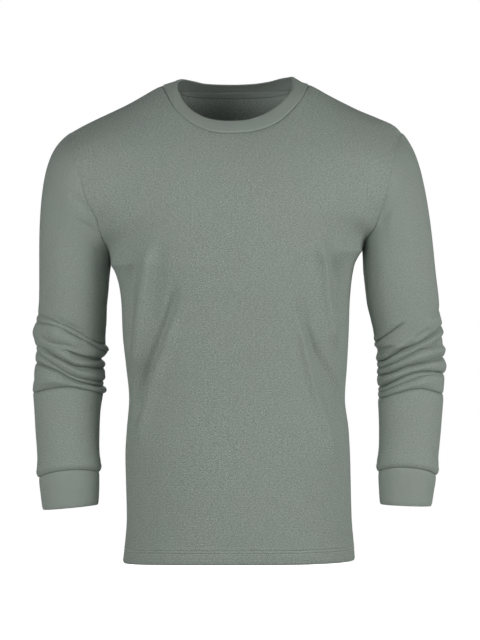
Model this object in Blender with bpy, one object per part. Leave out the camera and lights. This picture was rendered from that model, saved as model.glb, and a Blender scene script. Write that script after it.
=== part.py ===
"""A man's long-sleeved crew-neck thermal top, filled out as it is worn.

Each cut piece of the garment is a closed shell of cloth: two panels, two sleeves,
a doubled neckband, two doubled cuffs and the tape inside the back neck.
The wearer's right is -X, the front faces -Y, up is +Z.  The origin is between the
shoulders at the foot of the neck.  The tables below are in millimetres, and
"drop" is the distance below the origin.
"""

import math

import bpy
import numpy as np

MM = 0.001

# Cloth
WALL = 1.6
BAND_WALL = 2.4
HEM_WALL = 2.6
HEM_HEIGHT = 18.0
SEAM_GAP = 0.3
FOLD_ROUNDING = 0.7
MITRE_LIMIT = 1.8

# How finely the pieces are divided
SHOULDER_COLUMNS = 6
NECK_COLUMNS = 14
YOKE_ROWS = 12
BODY_ROWS = 9
BODY_ROWS_CLOSING = 1.35
CAP_ROWS = 7
BAND_ROWS = 4
CUFF_ROWS = 3
TAPE_ROWS = 2

# Torso: its sides and depths at heights from the armpits to the hem
TORSO = {
    "drop": (247, 255, 268, 276, 288, 300, 324, 370, 417, 465, 512, 548, 642, 678, 704),
    "right": (-187, -187, -186, -181.5, -177, -174, -171, -169, -164, -159.5, -163, -165, -163, -165.5, -168.5),
    "left": (185, 179.5, 173.5, 171.8, 169.8, 168.4, 166.5, 165, 162.5, 159.5, 165, 167, 169.5, 172.5, 174.5),
    "front": (127, 127, 126, 126, 125, 124, 121, 116, 112, 110, 111, 113, 117, 118, 118),
    "back": (110, 110, 109, 108, 107, 106, 103, 99, 96, 95, 98, 103, 111, 112, 112),
}
TORSO_POWER = 2.4
ARMPIT_DROP = {"right": 268.0, "left": 247.5}
HEM_DROP = {"right": 707.0, "front": 703.5, "left": 702.5, "back": 706.0}

# Upper panels, from the armpit row (share 0) to the shoulder and neck (share 1)
YOKE = {
    "share": (0, 0.2, 0.4, 0.6, 0.8, 1),
    "edge_front": (0, 48, 78, 100, 116, 124),
    "edge_back": (0, 46, 72, 92, 106, 112),
    "flatness": (1.0, 0.75, 0.5, 0.35, 0.3, 0.3),
    "evenness": (0, 0.45, 0.75, 0.9, 1, 1),
}
YOKE_DEPTH = {"front": 129.0, "back": 114.0}
# How roundly the cloth turns in to the neck and shoulder, from the middle (place 0)
# to the shoulder tip (place 1)
TURN_IN = {
    "place": (0, 0.3, 0.5, 0.62, 0.8, 1),
    "front": (1.1, 1.12, 1.2, 1.3, 1.6, 2.0),
    "back": (1.2, 1.45, 2.1, 2.3, 2.1, 2.0),
}
RISE_POWER = 2.3
EASE_PASSES = 14
EASE_EDGE = 0.25

# Armhole seams, from the armpit up over the front or the back to the shoulder tip
ARMHOLE = {
    ("right", "front"): {
        "side": (-186, -189.5, -199, -205, -214.5, -223, -232, -241, -243.5, -245),
        "depth": (0, -35, -62, -72, -78, -80, -74, -54, -25, 2),
        "drop": (268, 246.5, 223.5, 202.5, 186, 164, 130, 101.5, 83, 72.5),
    },
    ("left", "front"): {
        "side": (185, 189.5, 201.5, 208, 218, 224.5, 230, 237.5, 242),
        "depth": (0, -35, -62, -72, -80, -76, -56, -26, 2),
        "drop": (247.5, 231.5, 213.5, 194.5, 168, 136, 105.5, 86, 74),
    },
    ("right", "back"): {
        "side": (-186, -188, -194, -199, -207, -216, -227, -238, -243, -245),
        "depth": (0, 34, 58, 67, 73, 75, 70, 52, 26, 2),
        "drop": (268, 247, 224, 203, 186, 164, 130, 101.5, 83, 72.5),
    },
    ("left", "back"): {
        "side": (185, 188, 196, 202, 211, 219, 227, 236, 242),
        "depth": (0, 34, 58, 68, 75, 72, 54, 27, 2),
        "drop": (247.5, 232, 214, 195, 168, 136, 105.5, 86, 74),
    },
}

# Shoulder seams, from the tip to the neck
SHOULDER = {
    "right": {
        "side": (-245, -230, -207, -182, -158, -138, -118, -110),
        "drop": (72.5, 63, 51.5, 39.8, 28, 16.5, 5, 2),
    },
    "left": {
        "side": (242, 233, 208.5, 180, 156, 133, 112.5, 106),
        "drop": (74, 62, 50.3, 38.5, 26.6, 14.8, 3, 0.5),
    },
}
SHOULDER_DEPTH = 2.0

# Neckband: the seam where it is sewn on and its folded top edge, right to left
NECK_SEAM = {
    "front": {
        "side": (-110, -97, -87.5, -73.5, -57, -36, -13, 11.5, 36, 60.5, 80, 97, 106),
        "depth": (2, -35, -49, -60, -67, -72, -75, -75, -72, -65, -52, -32, 2),
        "drop": (2, 29.4, 43.3, 55.5, 66, 73.3, 75.6, 74.7, 70.3, 59.3, 42, 21, 0.5),
    },
    "back": {
        "side": (-110, -100, -80, -50, -10, 30, 65, 92, 106),
        "depth": (2, 34, 55, 69, 76, 74, 61, 36, 2),
        "drop": (2, 3, 5, 6, 5.5, 5, 4, 2, 0.5),
    },
}
NECK_EDGE = {
    "front": {
        "side": (-89, -89, -84.5, -74, -59, -39, -16, 8, 33, 55.5, 70.5, 82.5, 83),
        "depth": (2, -12, -25, -38, -48, -55, -59, -59, -55, -46, -35, -12, 2),
        "drop": (-4.5, 5, 17.7, 33, 45.3, 54, 57, 56.3, 49.8, 37, 23, 3.7, -5.5),
    },
    "back": {
        "side": (-89, -80, -63.5, -48.5, -30, -5, 20, 45, 69.5, 81, 83),
        "depth": (2, 18, 37, 48, 55, 58, 56, 47, 30, 13, 2),
        "drop": (-4.5, -9.2, -7.3, -4.7, -3.9, -3.7, -4.5, -7, -11.8, -12.5, -5.5),
    },
}
BAND_CROWN = 1.2
TAPE_HEIGHT = 7.0
TAPE_START = 0.4
TAPE_WALL = 0.8
TAPE_LIFT = 0.8
TAPE_TURN_IN = 3

# Sleeve caps: the way the cloth leaves the armhole seam, from armpit to tip
CAP = {
    "share": (0, 0.15, 0.3, 0.5, 0.7, 0.85, 1),
    "out": (0.05, 0.25, 0.55, 0.85, 0.9, 0.9, 0.88),
    "inward": (0, 0.5, 0.45, 0.05, -0.1, -0.05, 0),
    "down": (1, 0.85, 0.7, 0.5, 0.45, 0.45, 0.47),
    "start": (5, 10, 20, 32, 38, 42, 44),
    "end": (5, 12, 28, 60, 90, 110, 120),
}
CAP_REACH = {"right": 0.88, "left": 0.5}

# Sleeves below the cap: drop of the middle, how much lower the outer side is, how much
# higher the front and back are, the inner and outer sides, the middle and the half depth
# from front to back
SLEEVE = {
    "right": {
        "drop": (270, 300, 323, 346, 370, 394, 417, 441, 465, 488, 512, 536, 556, 566, 574, 580),
        "tilt": (-34, -22, -14, -8, -4, 0, 0, 1, 2, 3, 4, 5, 5, 4, 3, 2),
        "bow": (0, 0, 0, 0, 0, 0, 0, 0, 0, 0, 1, 3.5, 7.5, 10, 12.5, 14),
        "inner": (188.5, 190.5, 192.4, 193, 194.5, 195.5, 196.5, 197.5, 199.5, 202, 203, 203.2, 202.5, 201, 200.5, 204),
        "outer": (292.6, 292.6, 293, 295.5, 298.5, 299, 299.5, 300, 300, 299.6, 298, 296, 295, 295.4, 295.6, 292),
        "middle": (0, 1, 3, 5, 8, 10, 9, 7, 4, 1, -2, -6, -9, -10.5, -12, -12),
        "depth": (62, 60.5, 58, 55, 52, 50, 48, 46, 44, 42.5, 41, 39.5, 39, 39.5, 39.5, 36),
    },
    "left": {
        "drop": (262, 290, 318, 346, 370, 394, 417, 441, 465, 488, 512, 536, 552, 561, 568, 574),
        "tilt": (-34, -22, -14, -8, -4, 0, 0, 1, 2, 2, 3, 3, 3, 3, 3, 3),
        "bow": (0, 0, 0, 0, 0, 0, 0, 0, 0, 0, 1, 3, 6.5, 8.5, 10.5, 12),
        "inner": (187, 189.5, 192.5, 197, 201, 204.5, 206, 207, 208.3, 209.5, 210, 209.6, 208, 206.5, 206.3, 209.5),
        "outer": (290.5, 294, 298, 300.5, 304, 306.5, 307, 306.5, 305.6, 303.6, 301.5, 299, 297.5, 297.6, 297.4, 293.5),
        "middle": (0, 1, 3, 5, 8, 10, 9, 7, 4, 1, -2, -6, -9, -10.5, -12, -12),
        "depth": (62, 60.5, 58, 55, 52, 50, 48, 46, 44, 42.5, 41, 39.5, 39, 39.5, 39.5, 36),
    },
}
SLEEVE_POWER = 2.15
BOW_MIDDLE = 0.35
# Row spacing along a sleeve: wide on plain stretches, close over folds and the end roll
SLEEVE_STEPS = {
    "drop": (262, 325, 340, 460, 480, 545, 556, 582),
    "step": (14, 10, 4.7, 4.7, 11, 11, 4.5, 3.5),
}

CUFF = {
    "right": {
        "drop": (581, 590, 606, 624.5),
        "tilt": (2, 4, 7, 7.5),
        "bow": (14, 9.5, 3.5, 0),
        "inner": (204, 203.4, 203.6, 204.6),
        "outer": (292, 291.5, 289.5, 286.8),
        "middle": (-12, -13, -14, -15),
        "depth": (36, 35.5, 33.5, 31.5),
    },
    "left": {
        "drop": (575, 584, 600, 621.5),
        "tilt": (3, 3, 3, 3),
        "bow": (12, 8, 3, 0),
        "inner": (209.5, 209, 209.6, 211),
        "outer": (293.5, 293, 290.5, 287),
        "middle": (-12, -13, -14, -15),
        "depth": (36, 35.5, 33.5, 31.5),
    },
}

# Folds: a row is a curve through three places (side, drop), how far it stands out
# (less than nothing for a trough), half its width, and the face it lies on
FOLD_COLUMNS = ("side_a", "drop_a", "side_b", "drop_b", "side_c", "drop_c", "height", "reach", "face")
FOLDS = {
    "right": (
        (-292, 342, -257, 355, -208, 379, -3.5, 4.5, "front"),
        (-290, 347, -248, 361, -190, 392, 3.5, 4.5, "front"),
        (-283, 354, -251, 369, -198, 398, -3.5, 4.5, "front"),
        (-303, 368, -267, 383, -218, 397, 5, 7, "front"),
        (-270, 390, -240, 400, -196, 407, -4, 4.5, "front"),
        (-300, 388, -262, 406, -205, 423, -3.5, 5, "front"),
        (-301, 399, -257, 421, -199, 437, -4, 5, "front"),
        (-302, 412, -257, 427, -197, 445, -3, 4.5, "front"),
        (-300, 436, -248, 437, -190, 450, 4, 6, "front"),
        (-303, 457, -262, 449.5, -193, 459, -3.5, 5, "front"),
        (-300, 352, -250, 372, -200, 366, -3, 6, "back"),
        (-302, 372, -250, 392, -198, 384, 4, 7, "back"),
        (-300, 392, -252, 411, -198, 404, -4, 6, "back"),
        (-300, 414, -248, 430, -200, 424, 3.5, 7, "back"),
        (-302, 434, -246, 448, -200, 442, -3.5, 6, "back"),
    ),
    "left": (
        (200, 381, 217, 371, 246, 354, -3.5, 4.5, "front"),
        (203, 390, 235, 378, 280, 352, 3, 5, "front"),
        (205, 411, 256, 387, 302, 352, -5, 5.5, "front"),
        (206, 418, 256, 395, 303, 372, 3.5, 4.5, "front"),
        (204, 425, 250, 402, 301, 378, -3.5, 4.5, "front"),
        (205, 431, 256, 413, 309, 404, -5, 5, "front"),
        (206, 440, 258, 422, 311, 414, 4, 5, "front"),
        (206, 449, 258, 428, 310, 427, -4, 4.5, "front"),
        (209, 459, 262, 443, 306, 438, 3.5, 6, "front"),
        (214, 463, 262, 451, 304, 457, -3, 5, "front"),
        (203, 366, 252, 372, 302, 352, -3, 6, "back"),
        (206, 384, 254, 392, 306, 372, 4, 7, "back"),
        (208, 404, 256, 411, 308, 392, -4, 6, "back"),
        (210, 424, 256, 430, 308, 412, 3.5, 7, "back"),
        (210, 442, 256, 448, 307, 434, -3.5, 6, "back"),
    ),
    "torso": (
        (-96, 290, -126, 378, -152, 470, 4, 15, "front"),
        (-108, 350, -122, 440, -134, 530, 3, 15, "front"),
        (92, 300, 124, 430, 152, 545, 4, 16, "front"),
        (132, 360, 146, 405, 158, 450, 3, 12, "front"),
        (-100, 250, -128, 350, -150, 450, 4, 18, "back"),
        (96, 240, 126, 345, 150, 450, 4, 18, "back"),
        (-60, 400, -10, 418, 55, 404, 3.5, 13, "back"),
        (-70, 432, -5, 452, 65, 438, 3, 13, "back"),
    ),
}

CLOTH_COLOUR = (0.225, 0.265, 0.232)
RIB_COLOUR = (0.215, 0.250, 0.222)
TAPE_COLOUR = (0.245, 0.285, 0.250)


# ---------------------------------------------------------------- small helpers


def through(keys, values, at):
    """A smooth curve through the values that never overshoots them."""
    x = np.asarray(keys, float)
    y = np.asarray(values, float)
    step = np.diff(x)
    slope = np.diff(y) / step
    tangent = np.zeros(len(x))
    same_way = slope[:-1] * slope[1:] > 0
    before = 2 * step[1:] + step[:-1]
    after = step[1:] + 2 * step[:-1]
    with np.errstate(divide="ignore", invalid="ignore"):
        blended = (before + after) / (before / slope[:-1] + after / slope[1:])
    tangent[1:-1] = np.where(same_way, blended, 0.0)
    tangent[0] = slope[0]
    tangent[-1] = slope[-1]
    at = np.clip(np.asarray(at, float), x[0], x[-1])
    i = np.clip(np.searchsorted(x, at, side="right") - 1, 0, len(step) - 1)
    t = (at - x[i]) / step[i]
    rise = (2 * t**3 - 3 * t**2 + 1) * y[i] + (3 * t**2 - 2 * t**3) * y[i + 1]
    lean = (t**3 - 2 * t**2 + t) * tangent[i] + (t**3 - t**2) * tangent[i + 1]
    return rise + lean * step[i]


def read(table, column, at, key="drop"):
    return through(table[key], table[column], at)


def points_of(table, default_depth=0.0):
    """The points of a seam's table, as rows of x, y, z."""
    side = np.asarray(table["side"], float)
    depth = np.asarray(table.get("depth", np.full(len(side), default_depth)), float)
    return np.stack([side, depth, -np.asarray(table["drop"], float)], axis=1)


def lengths_along(points):
    return np.concatenate([[0.0], np.cumsum(np.linalg.norm(np.diff(points, axis=0), axis=1))])


def spaced(points, count):
    """count + 1 points evenly along a smooth curve through the given ones."""
    along = lengths_along(points)
    fine_at = np.linspace(0, along[-1], 600)
    fine = np.stack([through(along, points[:, k], fine_at) for k in range(3)], axis=1)
    fine_along = lengths_along(fine)
    at = np.linspace(0, fine_along[-1], count + 1)
    return np.stack([np.interp(at, fine_along, fine[:, k]) for k in range(3)], axis=1)


def unit(vectors):
    return vectors / np.maximum(np.linalg.norm(vectors, axis=-1), 1e-9)[..., None]


def smoothstep(low, high, value):
    t = np.clip((value - low) / (high - low), 0, 1)
    return t * t * (3 - 2 * t)


def rounded(angle, power):
    """Across and deep shares of a rounded box section at an angle."""
    across = np.sign(np.cos(angle)) * np.abs(np.cos(angle)) ** (2 / power)
    deep = np.sign(np.sin(angle)) * np.abs(np.sin(angle)) ** (2 / power)
    return across, deep


def even_angles(width, depth, power, start, end, count):
    """Angles that divide a rounded box section into even lengths."""
    fine = np.linspace(start, end, 2000)
    across, deep = rounded(fine, power)
    along = lengths_along(np.stack([width * across, depth * deep], axis=1))
    return np.interp(np.linspace(0, along[-1], count + 1), along, fine)


# ---------------------------------------------------------------- the cloth's shape


def panel_columns():
    """Where each column of a panel stands across the torso, -1 right to 1 left."""
    count = 2 * SHOULDER_COLUMNS + NECK_COLUMNS
    angles = even_angles(170, 118, TORSO_POWER, math.pi, 0, count)
    return rounded(angles, TORSO_POWER)[0]


def top_of_panel(face):
    """The panel's upper edge: right shoulder seam, neckline, left shoulder seam."""
    right = spaced(points_of(SHOULDER["right"], SHOULDER_DEPTH), SHOULDER_COLUMNS)
    left = spaced(points_of(SHOULDER["left"], SHOULDER_DEPTH), SHOULDER_COLUMNS)
    neck = spaced(points_of(NECK_SEAM[face]), NECK_COLUMNS)
    return np.concatenate([right, neck[1:-1], left[::-1]])


def torso_point(across, drop, way, power=TORSO_POWER):
    """Points of the torso's rounded sections; way is -1 in front and 1 behind."""
    right = read(TORSO, "right", drop)
    left = read(TORSO, "left", drop)
    depth = read(TORSO, "front" if way < 0 else "back", drop)
    side = (left + right) / 2 + across * (left - right) / 2
    bulge = np.clip(1 - np.abs(across) ** power, 0, 1) ** (1 / power)
    return np.stack([side, way * depth * bulge, -drop], axis=-1)


def torso_panel(face):
    """The rows of a panel, shoulder and neck first, hem last."""
    way = -1 if face == "front" else 1
    across = panel_columns()
    blend = (across + 1) / 2
    armpit = ARMPIT_DROP["right"] * (1 - blend) + ARMPIT_DROP["left"] * blend
    sides = HEM_DROP["right"] * (1 - blend) + HEM_DROP["left"] * blend
    hem = HEM_DROP[face] + (sides - HEM_DROP[face]) * np.abs(across) ** 2
    rows = yoke_rows(face, way, across, armpit)
    heights = np.linspace(0, 1, BODY_ROWS + 1)[1:-1] ** BODY_ROWS_CLOSING
    for share in heights:
        rows.append(torso_point(across, armpit + (hem - HEM_HEIGHT - 2 - armpit) * share, way))
    for above in (HEM_HEIGHT + 1, HEM_HEIGHT - 1, HEM_HEIGHT / 2, 0):
        rows.append(torso_point(across, hem - above, way))
    grid = np.array(rows)
    return lift_folds(grid, FOLDS["torso"], np.zeros(3), start=0.1)


def yoke_rows(face, way, across, armpit):
    """The rows from the shoulder and neck down to the armpits."""
    bottom = torso_point(across, armpit, way)
    top = top_of_panel(face)
    right_edge = spaced(points_of(ARMHOLE["right", face]), YOKE_ROWS)
    left_edge = spaced(points_of(ARMHOLE["left", face]), YOKE_ROWS)
    place = np.linspace(-1, 1, len(across))
    roundness = read(TURN_IN, face, np.abs(place), "place")
    turning = np.clip(roundness - 1, 0, 1)
    rows = []
    for i in range(YOKE_ROWS, -1, -1):
        share = i / YOKE_ROWS
        rise = turning * math.sin(share * math.pi / 2) + (1 - turning) * share
        fade = np.clip(1 - rise**RISE_POWER, 0, 1) ** (1 / roundness)
        even = read(YOKE, "evenness", share, "share")
        shift = across * (1 - even) + place * even
        flat = read(YOKE, "flatness", share, "share")
        edge_depth = read(YOKE, "edge_" + face, share, "share")
        bulge = np.clip(1 - np.abs(shift) ** TORSO_POWER, 0, 1) ** (1 / (1 + (TORSO_POWER - 1) * flat))
        depth = edge_depth + (YOKE_DEPTH[face] - edge_depth) * bulge
        chest = bottom[:, 1] * (1 - smoothstep(0, 0.35, share)) + way * depth * smoothstep(0, 0.35, share)
        side = bottom[:, 0] * (1 - rise) + top[:, 0] * rise
        deep = top[:, 1] + (chest - top[:, 1]) * fade
        high = bottom[:, 2] + (top[:, 2] - bottom[:, 2]) * rise
        row = np.stack([side, deep, high], axis=1)
        right_pull = (right_edge[i] - row[0]) * np.clip(-place, 0, 1)[:, None] ** 2.5
        left_pull = (left_edge[i] - row[-1]) * np.clip(place, 0, 1)[:, None] ** 2.5
        rows.append(row + right_pull + left_pull)
    return eased(np.array(rows), place)


def eased(rows, place):
    """Evens the yoke out from side to side, leaving its edges where they are."""
    inside = np.clip((1 - np.abs(place)) / EASE_EDGE, 0, 1)
    share = np.linspace(1, 0, len(rows))
    below = np.clip((1 - share) / EASE_EDGE, 0, 1) * np.clip(share / EASE_EDGE, 0, 1)
    weight = (0.5 * below[:, None] * inside)[1:-1, 1:-1, None]
    for _ in range(EASE_PASSES):
        middle = (rows[1:-1, :-2] + rows[1:-1, 2:]) / 2
        rows[1:-1, 1:-1] += weight * (middle - rows[1:-1, 1:-1])
    return list(rows)


def armhole_ring(side):
    """The closed armhole seam: armpit, front, shoulder tip, back."""
    front = spaced(points_of(ARMHOLE[side, "front"]), YOKE_ROWS)
    back = spaced(points_of(ARMHOLE[side, "back"]), YOKE_ROWS)
    return np.concatenate([front[:-1], back[::-1][:-1]])


def tube_ring(table, side, drop):
    """One section of a sleeve or cuff: innermost point first, then front, outer, back."""
    way = -1 if side == "right" else 1
    inner, outer = read(table, "inner", drop), read(table, "outer", drop)
    half = (outer - inner) / 2
    depth = read(table, "depth", drop)
    count = 2 * YOKE_ROWS
    angles = even_angles(half, depth, SLEEVE_POWER, math.pi, -math.pi, count)[:-1]
    across, deep = rounded(angles, SLEEVE_POWER)
    x = way * ((inner + outer) / 2 + half * across)
    y = read(table, "middle", drop) - depth * deep
    bow = read(table, "bow", drop) * (deep**2 - BOW_MIDDLE)
    z = bow - drop - read(table, "tilt", drop) * across / 2
    return np.stack([x, y, z], axis=1)


def drops_between(first, last):
    """Drops of the sleeve's rows, as close together as the steps table says."""
    drops = [first]
    while drops[-1] < last:
        drops.append(drops[-1] + float(read(SLEEVE_STEPS, "step", drops[-1])))
    scale = (last - first) / (drops[-1] - first)
    return [first + (d - first) * scale for d in drops]


def sleeve_tube(side):
    """The sleeve's rings from the armhole seam to the cuff seam."""
    table = SLEEVE[side]
    out = -1 if side == "right" else 1
    seam = armhole_ring(side)
    first_drop = float(table["drop"][0])
    biceps = tube_ring(table, side, first_drop)
    below = tube_ring(table, side, first_drop + 6)
    count = len(seam)
    share = 1 - np.abs(np.arange(count) / (count / 2) - 1)
    behind = np.where(np.arange(count) > count / 2, 1.0, -1.0)
    start = np.stack(
        [
            out * read(CAP, "out", share, "share"),
            -behind * read(CAP, "inward", share, "share"),
            -read(CAP, "down", share, "share"),
        ],
        axis=1,
    )
    start = unit(start)
    end = unit(below - biceps)
    handle_a = seam + start * read(CAP, "start", share, "share")[:, None] * CAP_REACH[side]
    handle_b = biceps - end * read(CAP, "end", share, "share")[:, None]
    rings = []
    for i in range(CAP_ROWS):
        t = i / CAP_ROWS
        rings.append(
            seam * (1 - t) ** 3
            + handle_a * 3 * t * (1 - t) ** 2
            + handle_b * 3 * t**2 * (1 - t)
            + biceps * t**3
        )
    for drop in drops_between(first_drop, float(table["drop"][-1])):
        rings.append(tube_ring(table, side, drop))
    grid = np.array(rings)
    centre = np.array([out * 247.0, 5.0, 0.0])
    return lift_folds(grid, FOLDS[side], centre, closed=True)


def cuff_tube(side):
    table = CUFF[side]
    drops = np.linspace(table["drop"][0], table["drop"][-1], CUFF_ROWS + 1)
    rings = [tube_ring(table, side, d) for d in drops]
    rings[0] = tube_ring(SLEEVE[side], side, float(SLEEVE[side]["drop"][-1]))
    return np.array(rings)


def neckband_tube():
    """The neckband's rings from its folded top edge down to its seam."""
    ring = {}
    for name, table in (("seam", NECK_SEAM), ("edge", NECK_EDGE)):
        front = spaced(points_of(table["front"]), NECK_COLUMNS)
        back = spaced(points_of(table["back"]), NECK_COLUMNS)
        ring[name] = np.concatenate([front[:-1], back[::-1][:-1]])
    seam, edge = ring["seam"], ring["edge"]
    away = unit(np.stack([seam[:, 0], seam[:, 1], np.full(len(seam), 40.0)], axis=1))
    rings = []
    for i in range(BAND_ROWS, -1, -1):
        t = i / BAND_ROWS
        rings.append(seam + (edge - seam) * t + away * BAND_CROWN * 4 * t * (1 - t))
    return np.array(rings)


def distance_to_fold(fold, side, drop):
    """Distance of each point from a fold's curve, and how far along it is (0 to 1)."""
    f = dict(zip(FOLD_COLUMNS, fold))
    best = np.full(side.shape, np.inf)
    along = np.zeros(side.shape)
    for t in np.linspace(0, 1, 41):
        first = 2 * (t - 0.5) * (t - 1)
        middle = -4 * t * (t - 1)
        last = 2 * t * (t - 0.5)
        x = first * f["side_a"] + middle * f["side_b"] + last * f["side_c"]
        d = first * f["drop_a"] + middle * f["drop_b"] + last * f["drop_c"]
        far = np.hypot(side - x, drop - d)
        nearer = far < best
        best = np.where(nearer, far, best)
        along = np.where(nearer, t, along)
    return best, along


def lift_folds(grid, folds, centre, closed=False, start=-0.35):
    """Moves a surface out along each ridge and in along each trough.

    A fold fades out where the cloth turns to the other face, from the start on.
    """
    normal = grid_normals(grid, closed)
    side, drop = grid[..., 0], -grid[..., 2]
    depth = (grid[..., 1] - centre[1]) / 40.0
    lift = np.zeros(side.shape)
    for fold in folds:
        f = dict(zip(FOLD_COLUMNS, fold))
        far, along = distance_to_fold(fold, side, drop)
        facing = -depth if f["face"] == "front" else depth
        fade = smoothstep(start, start + 0.7, facing) * np.clip(5 * along * (1 - along) + 0.25, 0, 1)
        lift += f["height"] * np.exp(-((far / f["reach"]) ** 2)) * fade
    return grid + normal * lift[..., None]


# ---------------------------------------------------------------- shells


def grid_faces(rows, columns, closed):
    """Quads of a grid, wound so that they face outwards."""
    faces = []
    last = columns if closed else columns - 1
    for r in range(rows - 1):
        for c in range(last):
            d = (c + 1) % columns
            faces.append((r * columns + c, (r + 1) * columns + c, (r + 1) * columns + d, r * columns + d))
    return faces


def vertex_normals(points, faces):
    normal = np.zeros_like(points)
    quads = np.asarray(faces)
    across = points[quads[:, 2]] - points[quads[:, 0]]
    down = points[quads[:, 3]] - points[quads[:, 1]]
    flat = unit(np.cross(across, down))
    for k in range(4):
        np.add.at(normal, quads[:, k], flat)
    return normal, flat


def grid_normals(grid, closed):
    rows, columns = grid.shape[:2]
    points = grid.reshape(-1, 3)
    normal, _ = vertex_normals(points, grid_faces(rows, columns, closed))
    return unit(normal).reshape(grid.shape)


class Piece:
    """A cut piece of cloth: a grid of points with its faces pointing out."""

    def __init__(self, name, grid, closed, flip=False, wall=WALL, colour=CLOTH_COLOUR, folded_edge=None):
        self.name = name
        self.grid = grid[:, ::-1] if flip else grid
        self.closed = closed
        self.wall = np.broadcast_to(np.asarray(wall, float), grid.shape[0])
        self.colour = colour
        self.folded_edge = folded_edge
        self.rows, self.columns = grid.shape[:2]
        self.points = self.grid.reshape(-1, 3).copy()
        self.faces = grid_faces(self.rows, self.columns, closed)

    def borders(self):
        """The grid's open edges, each as a list of vertex numbers in order."""
        first = list(range(self.columns))
        last = [(self.rows - 1) * self.columns + c for c in range(self.columns)]
        if self.closed:
            return [first + first[:1], last + last[:1]]
        right = [r * self.columns for r in range(self.rows)]
        left = [r * self.columns + self.columns - 1 for r in range(self.rows)]
        return [first, last, right, left]


def find_seams(pieces):
    """Common normals of the sewn garment, and each seam point's pull from its seam."""
    keys = {}
    owner = []
    for piece in pieces:
        ids = [keys.setdefault(tuple(np.round(p, 3)), len(keys)) for p in piece.points]
        piece.ids = np.array(ids)
        owner.append(piece.ids)
    groups = {}
    edges = {}
    for piece in pieces:
        normal, flat = vertex_normals(piece.points, piece.faces)
        group = "torso" if piece.name.endswith("panel") else piece.name
        np.add.at(groups.setdefault(group, np.zeros((len(keys), 3))), piece.ids, normal)
        for f, face in enumerate(piece.faces):
            for a, b in zip(face, face[1:] + face[:1]):
                pair = frozenset((piece.ids[a], piece.ids[b]))
                edges.setdefault(pair, []).append((piece.name, flat[f]))
    total = sum(unit(normals) for normals in groups.values())
    for piece in pieces:
        piece.normal = unit(total[piece.ids])
        own = unit(vertex_normals(piece.points, piece.faces)[0])
        piece.mitre = np.clip(1 / np.maximum((piece.normal * own).sum(1), 0.1), 1, MITRE_LIMIT)
        piece.pull = np.zeros_like(piece.points)
        middle = piece_middles(piece)
        wishes = {}
        for border in piece.borders():
            for a, b in zip(border[:-1], border[1:]):
                sides = edges[frozenset((piece.ids[a], piece.ids[b]))]
                if len({name for name, _ in sides}) < 2:
                    continue
                along = piece.points[b] - piece.points[a]
                common = sum(n for _, n in sides)
                inward = np.cross(common, along)
                inward /= max(np.linalg.norm(inward), 1e-9)
                if np.dot(inward, middle[a] + middle[b] - piece.points[a] - piece.points[b]) < 0:
                    inward = -inward
                wishes.setdefault(a, []).append(inward)
                wishes.setdefault(b, []).append(inward)
        for vertex, ways in wishes.items():
            wish = np.array(ways)
            pull = np.linalg.lstsq(wish, np.full(len(wish), SEAM_GAP / 2), rcond=0.2)[0]
            piece.pull[vertex] = pull


def piece_middles(piece):
    """For each point, the mean of the points one row or column further in."""
    grid = piece.points.reshape(piece.rows, piece.columns, 3)
    inner = grid.copy()
    inner[0] = grid[1]
    inner[-1] = grid[-2]
    if not piece.closed:
        inner[:, 0] = (inner[:, 0] + grid[:, 1]) / 2
        inner[:, -1] = (inner[:, -1] + grid[:, -2]) / 2
        inner[1:-1, 0] = grid[1:-1, 1]
        inner[1:-1, -1] = grid[1:-1, -2]
    return inner.reshape(-1, 3)


def inner_points(piece):
    wall = np.repeat(piece.wall, piece.columns) * piece.mitre
    return piece.points + piece.pull - piece.normal * wall[:, None]


def shell_mesh(piece):
    """Outer and inner walls, with a rim along every open edge."""
    outer = piece.points + piece.pull
    inner = inner_points(piece)
    count = len(outer)
    points = [outer, inner]
    faces = list(piece.faces)
    faces += [tuple(i + count for i in reversed(face)) for face in piece.faces]
    extra = 2 * count
    used = {(a, b) for face in piece.faces for a, b in zip(face, face[1:] + face[:1])}
    names = ("first", "last", "right", "left")
    for name, border in zip(names, piece.borders()):
        folded = name == piece.folded_edge
        if folded:
            ring = border[:-1] if piece.closed else border
            one_in = piece.columns if name == "first" else -piece.columns
            beyond = unit(outer[ring] - outer[[v + one_in for v in ring]])
            points.append((outer[ring] + inner[ring]) / 2 + beyond * FOLD_ROUNDING)
            mid = {v: extra + k for k, v in enumerate(ring)}
            extra += len(ring)
        for a, b in zip(border[:-1], border[1:]):
            if (a, b) in used:
                a, b = b, a
            if folded:
                faces.append((a, b, mid[b], mid[a]))
                faces.append((mid[a], mid[b], b + count, a + count))
            elif piece.ids[a] < piece.ids[b]:
                faces.append((a, b, b + count))
                faces.append((a, b + count, a + count))
            else:
                faces.append((a, b, a + count))
                faces.append((b, b + count, a + count))
    return np.concatenate(points), close_corners(faces, piece, count)


def close_corners(faces, piece, count):
    """Fills the small gaps at the two ends of a panel's folded edge."""
    if piece.closed or piece.folded_edge is None:
        return faces
    corners = (piece.borders()[1][0], piece.borders()[1][-1])
    mids = (2 * count, 2 * count + piece.columns - 1)
    for corner, mid, turn in zip(corners, mids, (-1, 1)):
        faces.append((corner, mid, corner + count)[::turn])
    return faces


def make_material(name, colour):
    material = bpy.data.materials.new(name)
    material.use_nodes = True
    shader = material.node_tree.nodes["Principled BSDF"]
    shader.inputs["Base Color"].default_value = (*colour, 1)
    shader.inputs["Roughness"].default_value = 0.9
    shader.inputs["Metallic"].default_value = 0.0
    return material


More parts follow.
